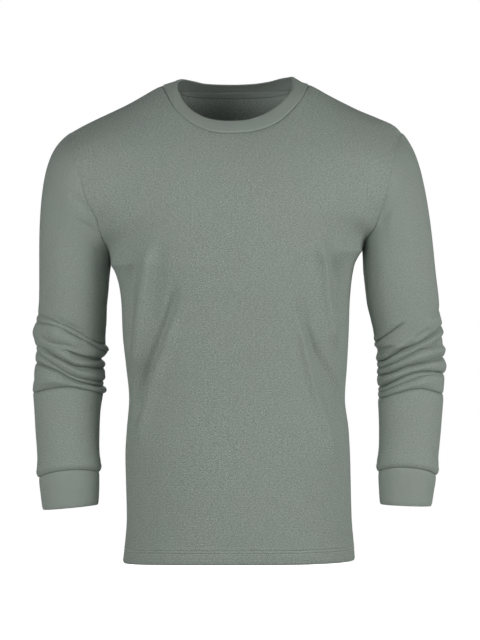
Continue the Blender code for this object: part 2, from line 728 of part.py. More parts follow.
def add_object(name, points, faces, colour, collection):
    mesh = bpy.data.meshes.new(name)
    mesh.from_pydata([tuple(p) for p in points * MM], [], faces)
    mesh.update()
    mesh.shade_smooth()
    mesh.set_sharp_from_angle(angle=math.radians(50))
    obj = bpy.data.objects.new(name, mesh)
    mesh.materials.append(make_material(name + "_cloth", colour))
    collection.objects.link(obj)
    return obj


# ---------------------------------------------------------------- the pieces


def sewn_pieces():
    pieces = []
    for face in ("front", "back"):
        grid = torso_panel(face)
        walls = np.full(len(grid), WALL)
        walls[-3:] = HEM_WALL
        pieces.append(
            Piece(face + "_panel", grid, False, flip=face == "back", wall=walls, folded_edge="last")
        )
    for side in ("right", "left"):
        flip = side == "right"
        pieces.append(Piece(side + "_sleeve", sleeve_tube(side), True, flip=flip))
        pieces.append(
            Piece(
                side + "_cuff",
                cuff_tube(side),
                True,
                flip=flip,
                wall=BAND_WALL,
                colour=RIB_COLOUR,
                folded_edge="last",
            )
        )
    pieces.append(
        Piece(
            "neckband", neckband_tube(), True, wall=BAND_WALL, colour=RIB_COLOUR, folded_edge="first"
        )
    )
    return pieces


def neck_tape(back):
    """A strip just below the neck seam, on the back panel's own inner points."""
    first = SHOULDER_COLUMNS + TAPE_TURN_IN
    last = back.columns - first
    shape = (back.rows, back.columns, 3)
    facing = back.normal.reshape(shape)[:2, first:last]
    top, lower = inner_points(back).reshape(shape)[:2, first:last] - facing * TAPE_LIFT
    way = unit(lower - top)
    drops = TAPE_START + TAPE_HEIGHT * np.linspace(0, 1, TAPE_ROWS + 1)
    piece = Piece(
        "neck_tape", np.array([top + way * d for d in drops]), False, wall=TAPE_WALL, colour=TAPE_COLOUR
    )
    piece.ids = np.arange(len(piece.points))
    piece.normal = np.tile(facing[0], (TAPE_ROWS + 1, 1))
    piece.mitre = np.ones(len(piece.points))
    piece.pull = np.zeros_like(piece.points)
    return piece


def main():
    for obj in list(bpy.data.objects):
        bpy.data.objects.remove(obj, do_unlink=True)
    collection = bpy.data.collections.new("thermal_top")
    bpy.context.scene.collection.children.link(collection)
    pieces = sewn_pieces()
    find_seams(pieces)
    for piece in pieces:
        points, faces = shell_mesh(piece)
        add_object(piece.name, points, faces, piece.colour, collection)
    tape = neck_tape(pieces[1])
    points, faces = shell_mesh(tape)
    add_object(tape.name, points, faces, tape.colour, collection)


main()
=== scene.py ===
"""The looks of a man's long-sleeved thermal top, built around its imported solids.

Every cut piece is a thin closed shell of cloth on the form of its solid, with its
creases, its seams' grooves and a knit material.  Stitches come from Geometry Nodes.
The wearer's right is -X, the front faces -Y, up is +Z.  The tables below are in
millimetres, and "drop" is the distance below the origin between the shoulders.
"""

import functools
import math

import bpy
import numpy as np
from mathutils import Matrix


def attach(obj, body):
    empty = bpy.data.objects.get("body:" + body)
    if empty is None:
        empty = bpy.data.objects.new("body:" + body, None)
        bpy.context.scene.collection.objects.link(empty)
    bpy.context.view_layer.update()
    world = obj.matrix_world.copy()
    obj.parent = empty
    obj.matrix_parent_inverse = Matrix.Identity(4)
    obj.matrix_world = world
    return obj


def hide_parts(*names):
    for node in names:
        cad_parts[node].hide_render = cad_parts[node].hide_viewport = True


bl_info = {
    "name": "Thermal Top",
    "version": (1, 0, 0),
    "blender": (4, 5, 0),
    "location": "3D View > Sidebar > Thermal Top",
    "description": "Dresses the solids of a long-sleeved thermal top in knitted cloth",
    "category": "Object",
}

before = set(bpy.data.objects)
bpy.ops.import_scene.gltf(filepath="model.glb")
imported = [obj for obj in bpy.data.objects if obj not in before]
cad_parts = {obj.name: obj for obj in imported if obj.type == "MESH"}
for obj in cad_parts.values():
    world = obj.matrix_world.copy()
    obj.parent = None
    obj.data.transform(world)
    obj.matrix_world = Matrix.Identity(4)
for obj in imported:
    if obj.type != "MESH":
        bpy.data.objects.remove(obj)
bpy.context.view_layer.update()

MM = 0.001


def by_column(columns, *rows):
    """A table written row by row, as a tuple of values for each column's name."""
    return dict(zip(columns, zip(*rows)))


# How finely the cloth is divided
PANEL_COLUMNS = 208
YOKE_ROWS = 72
BODY_ROWS = 118
CAP_ROWS = 44
CUFF_ROWS = 22
BAND_ROWS = 14
TAPE_ROWS = 6
FOLD_STEPS = 5
EDGE_LINES = (0.2, 0.5)
# How finely curves, rounded sections and the paths of folds are measured
CURVE_STEPS = 600
ANGLE_STEPS = 2000
PATH_STEPS = 25

# The solids' own divisions, which the yoke's shape is eased over
SOLID_COLUMNS = 26
NECK_CORNER = 7 / 13
EASE_PASSES = 14
EASE_EDGE = 0.25
JOIN_ROWS = 18
JOIN_PASSES = 220
JOIN_EDGE = 0.04

# Torso: its sides and depths at heights from the armpits to the hem
TORSO = by_column(
    ("drop", "right", "left", "front", "back"),
    (247, -187, 185, 127, 110),
    (255, -187, 179.5, 127, 110),
    (268, -186, 173.5, 126, 109),
    (276, -181.5, 171.8, 126, 108),
    (288, -177, 169.8, 125, 107),
    (300, -174, 168.4, 124, 106),
    (324, -171, 166.5, 121, 103),
    (370, -169, 165, 116, 99),
    (417, -164, 162.5, 112, 96),
    (465, -159.5, 159.5, 110, 95),
    (512, -163, 165, 111, 98),
    (548, -165, 167, 113, 103),
    (642, -163, 169.5, 117, 111),
    (678, -165.5, 172.5, 118, 112),
    (704, -168.5, 174.5, 118, 112),
)
TORSO_POWER = 2.4
# Half the width and the depth of the section whose length spaces the columns evenly
TORSO_HALF = (170, 118)
ARMPIT_DROP = {"right": 268.0, "left": 247.5}
HEM_DROP = {"right": 707.0, "front": 703.5, "left": 702.5, "back": 706.0}
HEM_HEIGHT = 20.0
# Rows above the hem's fold, close together over its two rows of stitches
HEM_ROWS = (32, 27, 23.5, 22, 21, 20.2, 19.5, 18.7, 17.9, 17, 16.2, 15.4, 13.6, 10, 6.5, 3, 1.2, 0)
HEM_ROUND_IN = 0.9

# Upper panels, from the armpit row (share 0) to the shoulder and neck (share 1)
YOKE = {
    "share": (0, 0.2, 0.4, 0.6, 0.8, 1),
    "edge_front": (0, 48, 78, 100, 116, 124),
    "edge_back": (0, 46, 72, 92, 106, 112),
    "flatness": (1.0, 0.75, 0.5, 0.35, 0.3, 0.3),
    "evenness": (0, 0.45, 0.75, 0.9, 1, 1),
}
YOKE_DEPTH = {"front": 129.0, "back": 114.0}
TURN_IN = {
    "place": (0, 0.3, 0.5, 0.62, 0.8, 1),
    "front": (1.1, 1.12, 1.2, 1.3, 1.6, 2.0),
    "back": (1.2, 1.45, 2.1, 2.3, 2.1, 2.0),
}
RISE_POWER = 2.3
# The share of the yoke's height over which the torso's depth gives way to its own
CHEST_SHARE = 0.35
# How closely the pull of the armhole seams keeps to the sides
PULL_POWER = 2.5

# Armhole seams, from the armpit up over the front or the back to the shoulder tip
ARMHOLE = {
    ("right", "front"): {
        "side": (-186, -189.5, -199, -205, -214.5, -223, -232, -241, -243.5, -245),
        "depth": (0, -35, -62, -72, -78, -80, -74, -54, -25, 2),
        "drop": (268, 246.5, 223.5, 202.5, 186, 164, 130, 101.5, 83, 72.5),
    },
    ("left", "front"): {
        "side": (185, 189.5, 201.5, 208, 218, 224.5, 230, 237.5, 242),
        "depth": (0, -35, -62, -72, -80, -76, -56, -26, 2),
        "drop": (247.5, 231.5, 213.5, 194.5, 168, 136, 105.5, 86, 74),
    },
    ("right", "back"): {
        "side": (-186, -188, -194, -199, -207, -216, -227, -238, -243, -245),
        "depth": (0, 34, 58, 67, 73, 75, 70, 52, 26, 2),
        "drop": (268, 247, 224, 203, 186, 164, 130, 101.5, 83, 72.5),
    },
    ("left", "back"): {
        "side": (185, 188, 196, 202, 211, 219, 227, 236, 242),
        "depth": (0, 34, 58, 68, 75, 72, 54, 27, 2),
        "drop": (247.5, 232, 214, 195, 168, 136, 105.5, 86, 74),
    },
}

# Shoulder seams, from the tip to the neck
SHOULDER = {
    "right": {
        "side": (-245, -230, -207, -182, -158, -138, -118, -110),
        "drop": (72.5, 63, 51.5, 39.8, 28, 16.5, 5, 2),
    },
    "left": {
        "side": (242, 233, 208.5, 180, 156, 133, 112.5, 106),
        "drop": (74, 62, 50.3, 38.5, 26.6, 14.8, 3, 0.5),
    },
}
SHOULDER_DEPTH = 2.0

# Neckband: the seam where it is sewn on and its folded top edge, right to left
NECK_SEAM = {
    "front": {
        "side": (-110, -97, -87.5, -73.5, -57, -36, -13, 11.5, 36, 60.5, 80, 97, 106),
        "depth": (2, -35, -49, -60, -67, -72, -75, -75, -72, -65, -52, -32, 2),
        "drop": (2, 29.4, 43.3, 55.5, 66, 73.3, 75.6, 74.7, 70.3, 59.3, 42, 21, 0.5),
    },
    "back": {
        "side": (-110, -100, -80, -50, -10, 30, 65, 92, 106),
        "depth": (2, 34, 55, 69, 76, 74, 61, 36, 2),
        "drop": (2, 3, 5, 6, 5.5, 5, 4, 2, 0.5),
    },
}
NECK_EDGE = {
    "front": {
        "side": (-89, -89, -84.5, -74, -59, -39, -16, 8, 33, 55.5, 70.5, 82.5, 83),
        "depth": (2, -12, -25, -38, -48, -55, -59, -59, -55, -46, -35, -12, 2),
        "drop": (-4.5, 5, 17.7, 33, 45.3, 54, 57, 56.3, 49.8, 37, 23, 3.7, -5.5),
    },
    "back": {
        "side": (-89, -80, -63.5, -48.5, -30, -5, 20, 45, 69.5, 81, 83),
        "depth": (2, 18, 37, 48, 55, 58, 56, 47, 30, 13, 2),
        "drop": (-4.5, -9.2, -7.3, -4.7, -3.9, -3.7, -4.5, -7, -11.8, -12.5, -5.5),
    },
}
BAND_CROWN = 1.2

# The strip over the seam inside the back neck, and how many rows of the panel it is
# looked for in
TAPE = {"start": 1.5, "height": 9.5, "reach": 0.34, "wall": 0.7, "lift": 0.25, "search": 24}

# Sleeve caps: the way the cloth leaves the armhole seam, from armpit to tip
CAP = {
    "share": (0, 0.15, 0.3, 0.5, 0.7, 0.85, 1),
    "out": (0.05, 0.25, 0.55, 0.85, 0.9, 0.9, 0.88),
    "inward": (0, 0.5, 0.45, 0.05, -0.1, -0.05, 0),
    "down": (1, 0.85, 0.7, 0.5, 0.45, 0.45, 0.47),
    "start": (5, 10, 20, 32, 38, 42, 44),
    "end": (5, 12, 28, 60, 90, 110, 120),
}
CAP_REACH = {"right": 0.88, "left": 0.5}
# How far below a sleeve's first row the next one is taken, for the way it runs down
BICEPS_STEP = 6
# The middle of the sleeves, for their folds: how far out and how far back
SLEEVE_CENTRE = (247.0, 5.0)

# Sleeves below the cap: drop of the middle, how much lower the outer side is, how much
# higher the front and back are, the inner and outer sides, the middle and the half depth
# from front to back
SLEEVE_COLUMNS = ("drop", "tilt", "bow", "inner", "outer", "middle", "depth")
SLEEVE = {
    "right": by_column(
        SLEEVE_COLUMNS,
        (270, -34, 0, 188.5, 292.6, 0, 62),
        (300, -22, 0, 190.5, 292.6, 1, 60.5),
        (323, -14, 0, 192.4, 293, 3, 58),
        (346, -8, 0, 193, 295.5, 5, 55),
        (358, -6, 0, 193.5, 299.5, 6.5, 53.5),
        (370, -4, 0, 194.5, 303, 8, 52),
        (382, -2, 0, 195, 300, 9, 51),
        (394, 0, 0, 190.5, 298.5, 10, 50),
        (405, 0, 0, 197.5, 299, 9.5, 49),
        (417, 0, 0, 194.5, 299.5, 9, 48),
        (441, 1, 0, 196, 300.5, 7, 46),
        (453, 1.5, 0, 193.5, 303.5, 5.5, 45),
        (465, 2, 0, 198.5, 301.5, 4, 44),
        (488, 3, 0, 202, 299.6, 1, 42.5),
        (512, 4, 0.8, 203, 298, -2, 41),
        (534, 5, 2.2, 203.2, 296, -6, 39.5),
        (550, 5.8, 4.2, 202.5, 295, -9, 39),
        (559, 6.7, 5.5, 201, 295.4, -10.5, 39.5),
        (566, 7.5, 6.6, 200.5, 295.6, -12, 39.5),
        (572, 8.2, 7.5, 204, 292, -12, 36),
    ),
    "left": by_column(
        SLEEVE_COLUMNS,
        (262, -34, 0, 187, 290.5, 0, 62),
        (290, -22, 0, 189.5, 294, 1, 60.5),
        (318, -14, 0, 192.5, 298, 3, 58),
        (346, -8, 0, 198.5, 301, 5, 55),
        (360, -6, 0, 201.5, 305.5, 6.8, 53.4),
        (372, -4, 0, 203, 305, 8.2, 51.9),
        (384, -2, 0, 203, 304.8, 9.2, 50.8),
        (394, 0, 0, 208.5, 308.5, 10, 50),
        (405, 0, 0, 205.5, 307.5, 9.6, 49),
        (417, 0, 0, 206.5, 310.5, 9, 48),
        (429, 0.5, 0, 206.8, 308.5, 8, 47),
        (441, 1, 0, 207.5, 307, 7, 46),
        (465, 2, 0, 208.3, 305.6, 4, 44),
        (488, 2, 0, 209.5, 303.6, 1, 42.5),
        (512, 3, 0.7, 210, 301.5, -2, 41),
        (535, 3, 2.2, 209.6, 299, -6, 39.5),
        (549.5, 3.6, 4.6, 208, 297.5, -9, 39),
        (557.5, 4.1, 6.4, 206.5, 297.6, -10.5, 39.5),
        (564, 4.6, 8, 206.3, 297.4, -12, 39.5),
        (569.5, 5, 9.4, 209.5, 293.5, -12, 36),
    ),
}
# Roundness of the inner and the outer half of a sleeve's section
SLEEVE_POWER = {"right": (2.05, 2.25), "left": (2.5, 2.25)}
BOW_MIDDLE = 0.35
# Row spacing along a sleeve: close where the elbow's creases are
SLEEVE_STEPS = {
    "drop": (262, 312, 332, 468, 488, 560, 582),
    "step": (2.8, 2.8, 0.95, 0.95, 2.8, 2.8, 2.0),
}

CUFF = {
    "right": by_column(
        SLEEVE_COLUMNS,
        (573, 8.2, 7.5, 204, 292, -12, 36),
        (583.5, 8, 5.5, 203.4, 291.5, -13, 35.5),
        (602, 7.7, 2.2, 203.6, 289.5, -14, 33.5),
        (624.5, 7.5, 0, 204.6, 286.8, -15, 31.5),
    ),
    "left": by_column(
        SLEEVE_COLUMNS,
        (570.5, 5, 9.4, 209.5, 293.5, -12, 36),
        (580.5, 4.5, 6.5, 209, 293, -13, 35.5),
        (598, 3.6, 2.6, 209.6, 290.5, -14, 33.5),
        (621.5, 3, 0, 211, 287, -15, 31.5),
    ),
}

# The sleeve's end puffs out and rolls under to the cuff's seam: places from the last
# row of the sleeve, how far below it and how far out of it
CUFF_ROLL = (
    ("down", "out"),
    ((-9, 0.2), (-7, 0.9), (-5, 1.9), (-3, 2.6), (-1, 2.8), (1, 2.4), (2.2, 1.5), (2.6, 0.4), (2.0, -0.6)),
)

# Folds on each face: how far the cloth stands out (less than nothing for a trough), half
# its width and its path through (side, drop).  A crease is a sharp trough.
RIGHT_FRONT_FOLDS = (
    ("crease", -4.6, 2.2, (
        (-309, 334.7), (-290, 342), (-262, 353), (-238, 364), (-219, 374), (-202, 382), (-178, 393.1),
    )),
    ("trough", -1.5, 2.5, ((-268, 344), (-248, 355), (-225, 365))),
    ("ridge", 2.2, 2.6, ((-311, 340.1), (-292, 347), (-258, 359.5), (-219, 378), (-200, 389), (-177, 402))),
    ("crease", -6.0, 2.2, (
        (-317, 348.3), (-297, 352), (-265, 358), (-245, 368), (-224, 379), (-204, 390), (-188, 397),
        (-164, 407.4),
    )),
    ("trough", -1.8, 3.0, (
        (-290, 338), (-290, 358), (-290, 370), (-283, 379), (-270, 384), (-248, 388), (-233, 392),
    )),
    ("ridge", 2.8, 9.0, ((-282, 366), (-255, 376), (-226, 388))),
    ("ridge", 2.1, 3.0, ((-268, 389), (-243, 393), (-218, 400), (-202, 402), (-176, 405.2))),
    ("crease", -9.2, 2.6, ((-256, 392), (-245, 396), (-230, 402), (-215, 405), (-186, 407), (-160, 408.8))),
    ("ridge", 3.2, 4.0, ((-270, 391), (-248, 405), (-233, 411), (-218, 412), (-200, 412), (-174, 412))),
    ("crease", -10.6, 2.6, (
        (-314, 381.2), (-296, 389), (-277, 397), (-262, 405), (-248, 412), (-238, 416), (-221, 418),
        (-188, 420), (-162, 421.6),
    )),
    ("trough", -2.4, 2.0, ((-236, 421), (-219, 422.5), (-200, 422), (-174, 421.3))),
    ("ridge", 3.4, 4.0, ((-279, 402), (-258, 411), (-242, 420), (-230, 427), (-205, 432), (-180, 437.1))),
    ("crease", -6.5, 1.8, (
        (-313, 384.5), (-297, 396), (-280, 408), (-265, 417), (-251, 425.5), (-236, 432), (-218, 436),
        (-188, 440), (-162, 443.4),
    )),
    ("ridge", 1.4, 2.0, (
        (-262, 421), (-248, 428.5), (-233, 434.5), (-216, 438), (-196, 441), (-170, 444.9),
    )),
    ("crease", -10.1, 2.2, (
        (-325, 403.8), (-306, 410), (-283, 417.5), (-268, 422.5), (-256, 428), (-242, 435), (-230, 439),
        (-212, 442.5), (-186, 447), (-160, 451.4),
    )),
    ("ridge", 2.3, 8.0, ((-309, 425.3), (-290, 430), (-265, 436), (-248, 442))),
    ("ridge", 3.0, 4.6, (
        (-322, 446.9), (-302, 444), (-271, 439.5), (-253, 439.5), (-236, 443), (-218, 445.5), (-199, 450),
        (-186, 454), (-161, 461.6),
    )),
    ("crease", -6.5, 2.9, (
        (-327, 464), (-308, 458), (-284, 450.5), (-262, 448), (-245, 447), (-224, 450.5), (-206, 455),
        (-188, 463), (-164, 473.6),
    )),
    ("ridge", 4.5, 8.5, ((-232, 374), (-200, 388), (-165, 394))),
    ("trough", -1.8, 3.0, ((-236, 202), (-222, 210), (-206, 220))),
    ("ridge", 1.7, 4.5, ((-236, 232), (-222, 240), (-206, 251))),
    ("trough", -2.2, 5.5, ((-246, 166), (-230, 178), (-214, 194))),
)
RIGHT_BACK_FOLDS = (
    ("crease", -3.0, 4.0, ((-304, 352), (-262, 371), (-228, 372), (-186, 358))),
    ("ridge", 3.5, 6.0, ((-303, 372), (-250, 388), (-194, 382))),
    ("crease", -4.0, 4.0, ((-306, 390), (-262, 408), (-230, 410), (-186, 402))),
    ("ridge", 3.0, 6.0, ((-302, 406), (-248, 423), (-196, 420))),
    ("crease", -3.5, 4.0, ((-306, 424), (-258, 444), (-226, 446), (-186, 436))),
    ("trough", -1.6, 6.0, ((-280, 466), (-246, 474), (-210, 462))),
)
LEFT_FRONT_FOLDS = (
    ("ridge", 2.1, 3.2, ((173, 386.6), (198, 378), (208, 374.5), (220, 365), (232, 356), (245, 349))),
    ("crease", -5.1, 2.4, ((175, 400.8), (196, 386), (209, 377), (225, 367), (237, 358), (250, 351))),
    ("trough", -2.7, 3.0, ((179, 418.9), (200, 404), (210, 397), (223, 391.5), (235, 386))),
    ("trough", -2.4, 3.4, ((282, 347), (292, 340), (304, 331), (320, 319))),
    ("ridge", 1.5, 4.0, ((303, 342), (286, 354), (270, 369))),
    ("ridge", 2.1, 3.5, ((206, 404), (226, 394), (240, 388), (253, 381), (268, 374))),
    ("crease", -10.6, 2.4, (
        (171, 420.8), (196, 413), (212, 408), (226, 400), (241, 393), (255, 388), (270, 382), (286, 373),
        (298, 365), (310, 352), (324, 337.3),
    )),
    ("trough", -2.2, 3.4, ((248, 387), (261, 378), (274, 368), (284, 359))),
    ("ridge", 3.2, 3.2, (
        (216, 410), (236, 401.5), (252, 395.5), (266, 387.5), (282, 381), (304, 367), (321, 356.3),
    )),
    ("crease", -6.5, 2.0, (
        (173, 431), (198, 423), (212, 418.5), (226, 414), (239, 408), (252, 401.5), (264, 395.5),
        (274, 391.5), (284, 390), (294, 384), (308, 371), (323, 357.4),
    )),
    ("ridge", 2.8, 5.0, ((216, 421), (242, 412.5), (258, 406.5), (274, 401.5), (304, 393), (323, 387.5))),
    ("crease", -10.1, 2.0, (
        (171, 441.6), (196, 434), (209, 430), (229, 424.5), (243, 419), (258, 415), (274, 412), (290, 408),
        (314, 402), (333, 397.1),
    )),
    ("ridge", 2.5, 4.5, ((208, 438), (228, 432), (245, 427), (262, 421.5), (290, 416))),
    ("crease", -9.2, 1.9, (
        (173, 464.6), (196, 453), (210, 446), (232, 437), (248, 430), (264, 425.5), (277, 424),
        (293, 424.5), (316, 430), (335, 434.7),
    )),
    ("ridge", 1.4, 2.2, ((222, 446), (242, 436.5), (258, 430.5), (274, 427.5), (292, 427.5))),
    ("crease", -5.1, 2.4, (
        (172, 467.7), (196, 459), (210, 454), (223, 449), (239, 443.5), (255, 438), (270, 432.5),
        (290, 429.5), (312, 431), (332, 432.4),
    )),
    ("ridge", 2.2, 4.5, ((222, 455), (247, 446), (262, 442.5), (292, 440))),
    ("crease", -6.0, 2.8, (
        (175, 475.2), (200, 467), (215, 462), (226, 458.5), (242, 454.5), (258, 450.5), (274, 450),
        (290, 453), (312, 460), (331, 466.1),
    )),
    ("trough", -1.5, 5.1, ((232, 176), (222, 192), (208, 212))),
)
LEFT_BACK_FOLDS = (
    ("crease", -3.0, 4.0, ((196, 382), (230, 374), (266, 362), (310, 347))),
    ("ridge", 3.5, 6.0, ((202, 398), (252, 392), (310, 366))),
    ("crease", -4.0, 4.0, ((196, 420), (232, 414), (264, 402), (312, 386))),
    ("ridge", 3.0, 6.0, ((204, 434), (254, 426), (310, 404))),
    ("crease", -3.5, 4.0, ((198, 448), (238, 446), (268, 436), (312, 420))),
    ("trough", -1.6, 6.0, ((216, 470), (252, 474), (286, 458))),
)
TORSO_FRONT_FOLDS = (
    ("ridge", 9.5, 9.0, ((-124, 230), (-130, 270), (-136, 320), (-141, 361), (-144, 396), (-151, 436))),
    ("trough", -3.6, 9.0, ((-106, 232), (-115, 280), (-119, 320), (-121, 352), (-122, 384))),
    ("trough", -5.0, 7.5, ((-148, 238), (-153, 290), (-157, 350), (-158, 410))),
    ("trough", -8.0, 6.8, (
        (-87, 286), (-95, 322), (-107, 361), (-118, 396), (-133, 430), (-142, 462), (-154, 512),
    )),
    ("ridge", 6.5, 8.5, (
        (-84, 336), (-94, 362), (-108, 396), (-119, 430), (-129, 465), (-137, 500), (-147, 548),
    )),
    ("ridge", 10.0, 6.8, ((122, 226), (126, 270), (131, 320), (137, 352), (145, 396))),
    ("trough", -7.0, 7.5, ((142, 256), (147, 296), (151, 340), (156, 390))),
    ("trough", -5.8, 7.5, (
        (90, 304), (95, 330), (103, 361), (114, 396), (125, 414), (134, 430), (143, 448), (151, 480),
        (156, 514),
    )),
    ("ridge", 6.5, 6.8, (
        (84, 336), (96, 378), (101, 406), (107, 430), (112, 448), (122, 482), (134, 518), (148, 574),
    )),
    ("trough", -3.5, 6.0, ((-122, 408), (-139, 448), (-151, 496))),
)
TORSO_BACK_FOLDS = (
    ("ridge", 4.3, 10.0, ((-112, 236), (-128, 330), (-152, 440))),
    ("trough", -4.3, 9.0, ((-84, 250), (-104, 350), (-140, 470))),
    ("ridge", 4.3, 10.0, ((104, 232), (124, 325), (152, 430))),
    ("trough", -4.3, 9.0, ((78, 246), (100, 345), (140, 462))),
    ("trough", -3.0, 12.0, ((-96, 384), (-20, 412), (64, 396))),
    ("ridge", 2.6, 12.0, ((-104, 410), (-14, 434), (84, 420))),
)
FOLDS = {
    "right": {"front": RIGHT_FRONT_FOLDS, "back": RIGHT_BACK_FOLDS},
    "left": {"front": LEFT_FRONT_FOLDS, "back": LEFT_BACK_FOLDS},
    "torso": {"front": TORSO_FRONT_FOLDS, "back": TORSO_BACK_FOLDS},
}
CREASE_TIP = 0.25
# The depth over which a fold fades where the cloth turns to the other face
FACE_DEPTH = 40.0
# How far the cloth above a crease hangs over it, as a share of the crease's half width
CREASE_HANG = 0.8

# Seams: how far the cloth dips at one, half the dip's width, and the low ridge beside
# it.  One piece lies over the seam, the other passes under it.
SEAMS = {
    "plain": (0.8, 1.3, 0.2, 3.4, 1.8),
    "over": (0.5, 0.7, 0.45, 2.0, 1.2),
    "under": (0.9, 1.4, 0.1, 6.0, 2.5),
    "band": (1.0, 0.8, 0.45, 2.2, 1.2),
    "neckline": (1.9, 1.2, 0.0, 6.0, 2.5),
}
# The shoulder tips, filled out a little so that the outline runs on over the seam:
# side, depth, drop, how far out and half the fill's width
TIP_FILL = ((-245, 2, 72.5, 0.9, 12.0), (242, 2, 74, 2.2, 12.0))
# An armhole seam's depth at the shoulder tip, as a share of its depth at the armpit
ARMHOLE_TOP = 0.05
# The widest that a wall's corner is drawn out where pieces meet at an angle
MITRE_LIMIT = 1.8
STITCH_ROWS = (19.6, 15.6)
STITCH_LIFT = 0.12

# Lights: bearing from the camera's side in degrees, height, reach, size and power
LIGHTS = (
    ("right", 60, -0.1, 2.1, 1.0, 20),
    ("right_front", 45, -0.25, 2.1, 1.0, 10.5),
    ("left_front", -30, -0.3, 2.1, 1.0, 7),
    ("left", -45, -0.1, 2.1, 1.0, 19),
    ("front", 0, 0.9, 3.2, 1.0, 10),
    ("behind", 180, 0.2, 3.2, 1.2, 95),
    ("top", 0, 2.8, 0.2, 2.0, 7),
)
LIGHT_TARGET = (0, 0, -0.35)
CAMERA_SIDE = 0.0044
CAMERA_HEIGHT = -0.3493
FLOOR_SIDES = 96
FLOOR_RADIUS = 9.0


# ---------------------------------------------------------------- settings


def length(name, description, size):
    """A setting in metres."""
    return bpy.props.FloatProperty(name=name, description=description, default=size, unit="LENGTH")


def strength(name, description, value):
    """A setting that is never below 0."""
    return bpy.props.FloatProperty(name=name, description=description, default=value, min=0.0)


def tint(name, description, colour):
    """A colour setting."""
    return bpy.props.FloatVectorProperty(name=name, description=description, default=colour, subtype="COLOR")


class ClothSettings(bpy.types.PropertyGroup):
    """The knitted cloth of the panels and sleeves."""

    wall: length("Wall", "Thickness of the cloth", 1.6 * MM)
    hem_wall: length("Hem", "Thickness of the cloth turned up at the hem", 2.6 * MM)
    waffle_across: length("Cell width", "Width of one cell of the knit", 2.5 * MM)
    waffle_down: length("Cell height", "Height of one cell of the knit", 2.1 * MM)
    colour: tint("Colour", "Colour of the yarn", (0.262, 0.302, 0.268))


class RibSettings(bpy.types.PropertyGroup):
    """The doubled rib of the neckband and cuffs, and the tape inside the neck."""

    wall: length("Wall", "Thickness of the doubled rib", 2.4 * MM)
    pitch: length("Rib pitch", "Distance from one rib to the next", 1.5 * MM)
    colour: tint("Colour", "Colour of the rib", (0.27, 0.31, 0.277))
    tape_colour: tint("Tape", "Colour of the neck tape", (0.2, 0.23, 0.203))


class StitchSettings(bpy.types.PropertyGroup):
    """The rows of stitches at the hem."""

    spacing: length("Spacing", "Distance from one stitch to the next", 2.7 * MM)
    length: length("Length", "Length of one stitch", 2.3 * MM)
    thickness: length("Thread", "Thickness of the sewing thread", 0.75 * MM)
    colour: tint("Thread colour", "Colour of the sewing thread", (0.4, 0.44, 0.4))


class StageSettings(bpy.types.PropertyGroup):
    """The camera, the lights and the floor."""

    distance: length("Camera distance", "From the camera to the shoulders", 5.0)
    picture_height: length("Picture height", "Height that the picture spans", 0.9472)
    floor_drop: length("Floor", "Depth of the floor below the shoulders", 0.95)
    key: strength("Brightness", "Scales the power of all the lights", 1.0)
    sky: strength("Sky", "Strength of the light from all around", 0.01)


SETTINGS = (
    ("top_cloth", ClothSettings),
    ("top_rib", RibSettings),
    ("top_stitch", StitchSettings),
    ("top_stage", StageSettings),
)


# ---------------------------------------------------------------- small helpers


def through(keys, values, at):
    """A smooth curve through the values that never overshoots them."""
    x = np.asarray(keys, float)
    y = np.asarray(values, float)
    step = np.diff(x)
    slope = np.diff(y) / step
    tangent = np.zeros(len(x))
    same_way = slope[:-1] * slope[1:] > 0
    before = 2 * step[1:] + step[:-1]
    after = step[1:] + 2 * step[:-1]
    with np.errstate(divide="ignore", invalid="ignore"):
        blended = (before + after) / (before / slope[:-1] + after / slope[1:])
    tangent[1:-1] = np.where(same_way, blended, 0.0)
    tangent[0] = slope[0]
    tangent[-1] = slope[-1]
    at = np.clip(np.asarray(at, float), x[0], x[-1])
    i = np.clip(np.searchsorted(x, at, side="right") - 1, 0, len(step) - 1)
    t = (at - x[i]) / step[i]
    rise = (2 * t**3 - 3 * t**2 + 1) * y[i] + (3 * t**2 - 2 * t**3) * y[i + 1]
    lean = (t**3 - 2 * t**2 + t) * tangent[i] + (t**3 - t**2) * tangent[i + 1]
    return rise + lean * step[i]


def read(table, column, at, key="drop"):
    """A table's column, read smoothly at places along its key column."""
    return through(table[key], table[column], at)


def points_of(table, default_depth=0.0):
    """The points of a seam's table, as rows of x, y, z."""
    side = np.asarray(table["side"], float)
    depth = np.asarray(table.get("depth", np.full(len(side), default_depth)), float)
    return np.stack([side, depth, -np.asarray(table["drop"], float)], axis=1)


def lengths_along(points):
    """The length run so far at each point of a line, or at each row of a grid's columns."""
    steps = np.linalg.norm(np.diff(points, axis=0), axis=-1)
    return np.concatenate([np.zeros((1, *steps.shape[1:])), np.cumsum(steps, axis=0)])


def along_curve(points, shares):
    """Points at the given shares of a smooth curve's length."""
    along = lengths_along(points)
    fine_at = np.linspace(0, along[-1], CURVE_STEPS)
    fine = np.stack([through(along, points[:, k], fine_at) for k in range(3)], axis=1)
    fine_along = lengths_along(fine)
    at = np.asarray(shares) * fine_along[-1]
    return np.stack([np.interp(at, fine_along, fine[:, k]) for k in range(3)], axis=1)


def unit(vectors):
    """The vectors at length 1."""
    return vectors / np.maximum(np.linalg.norm(vectors, axis=-1), 1e-9)[..., None]


def smoothstep(low, high, value):
    """Rises smoothly from 0 at low to 1 at high."""
    t = np.clip((value - low) / (high - low), 0, 1)
    return t * t * (3 - 2 * t)


def rounded(angle, power):
    """Across and deep shares of a rounded box section at an angle.

    With a power for each half, the first is for the half where across is below 0.
    """
    if isinstance(power, tuple):
        power = np.where(np.cos(angle) < 0, power[0], power[1])
    across = np.sign(np.cos(angle)) * np.abs(np.cos(angle)) ** (2 / power)
    deep = np.sign(np.sin(angle)) * np.abs(np.sin(angle)) ** (2 / power)
    return across, deep


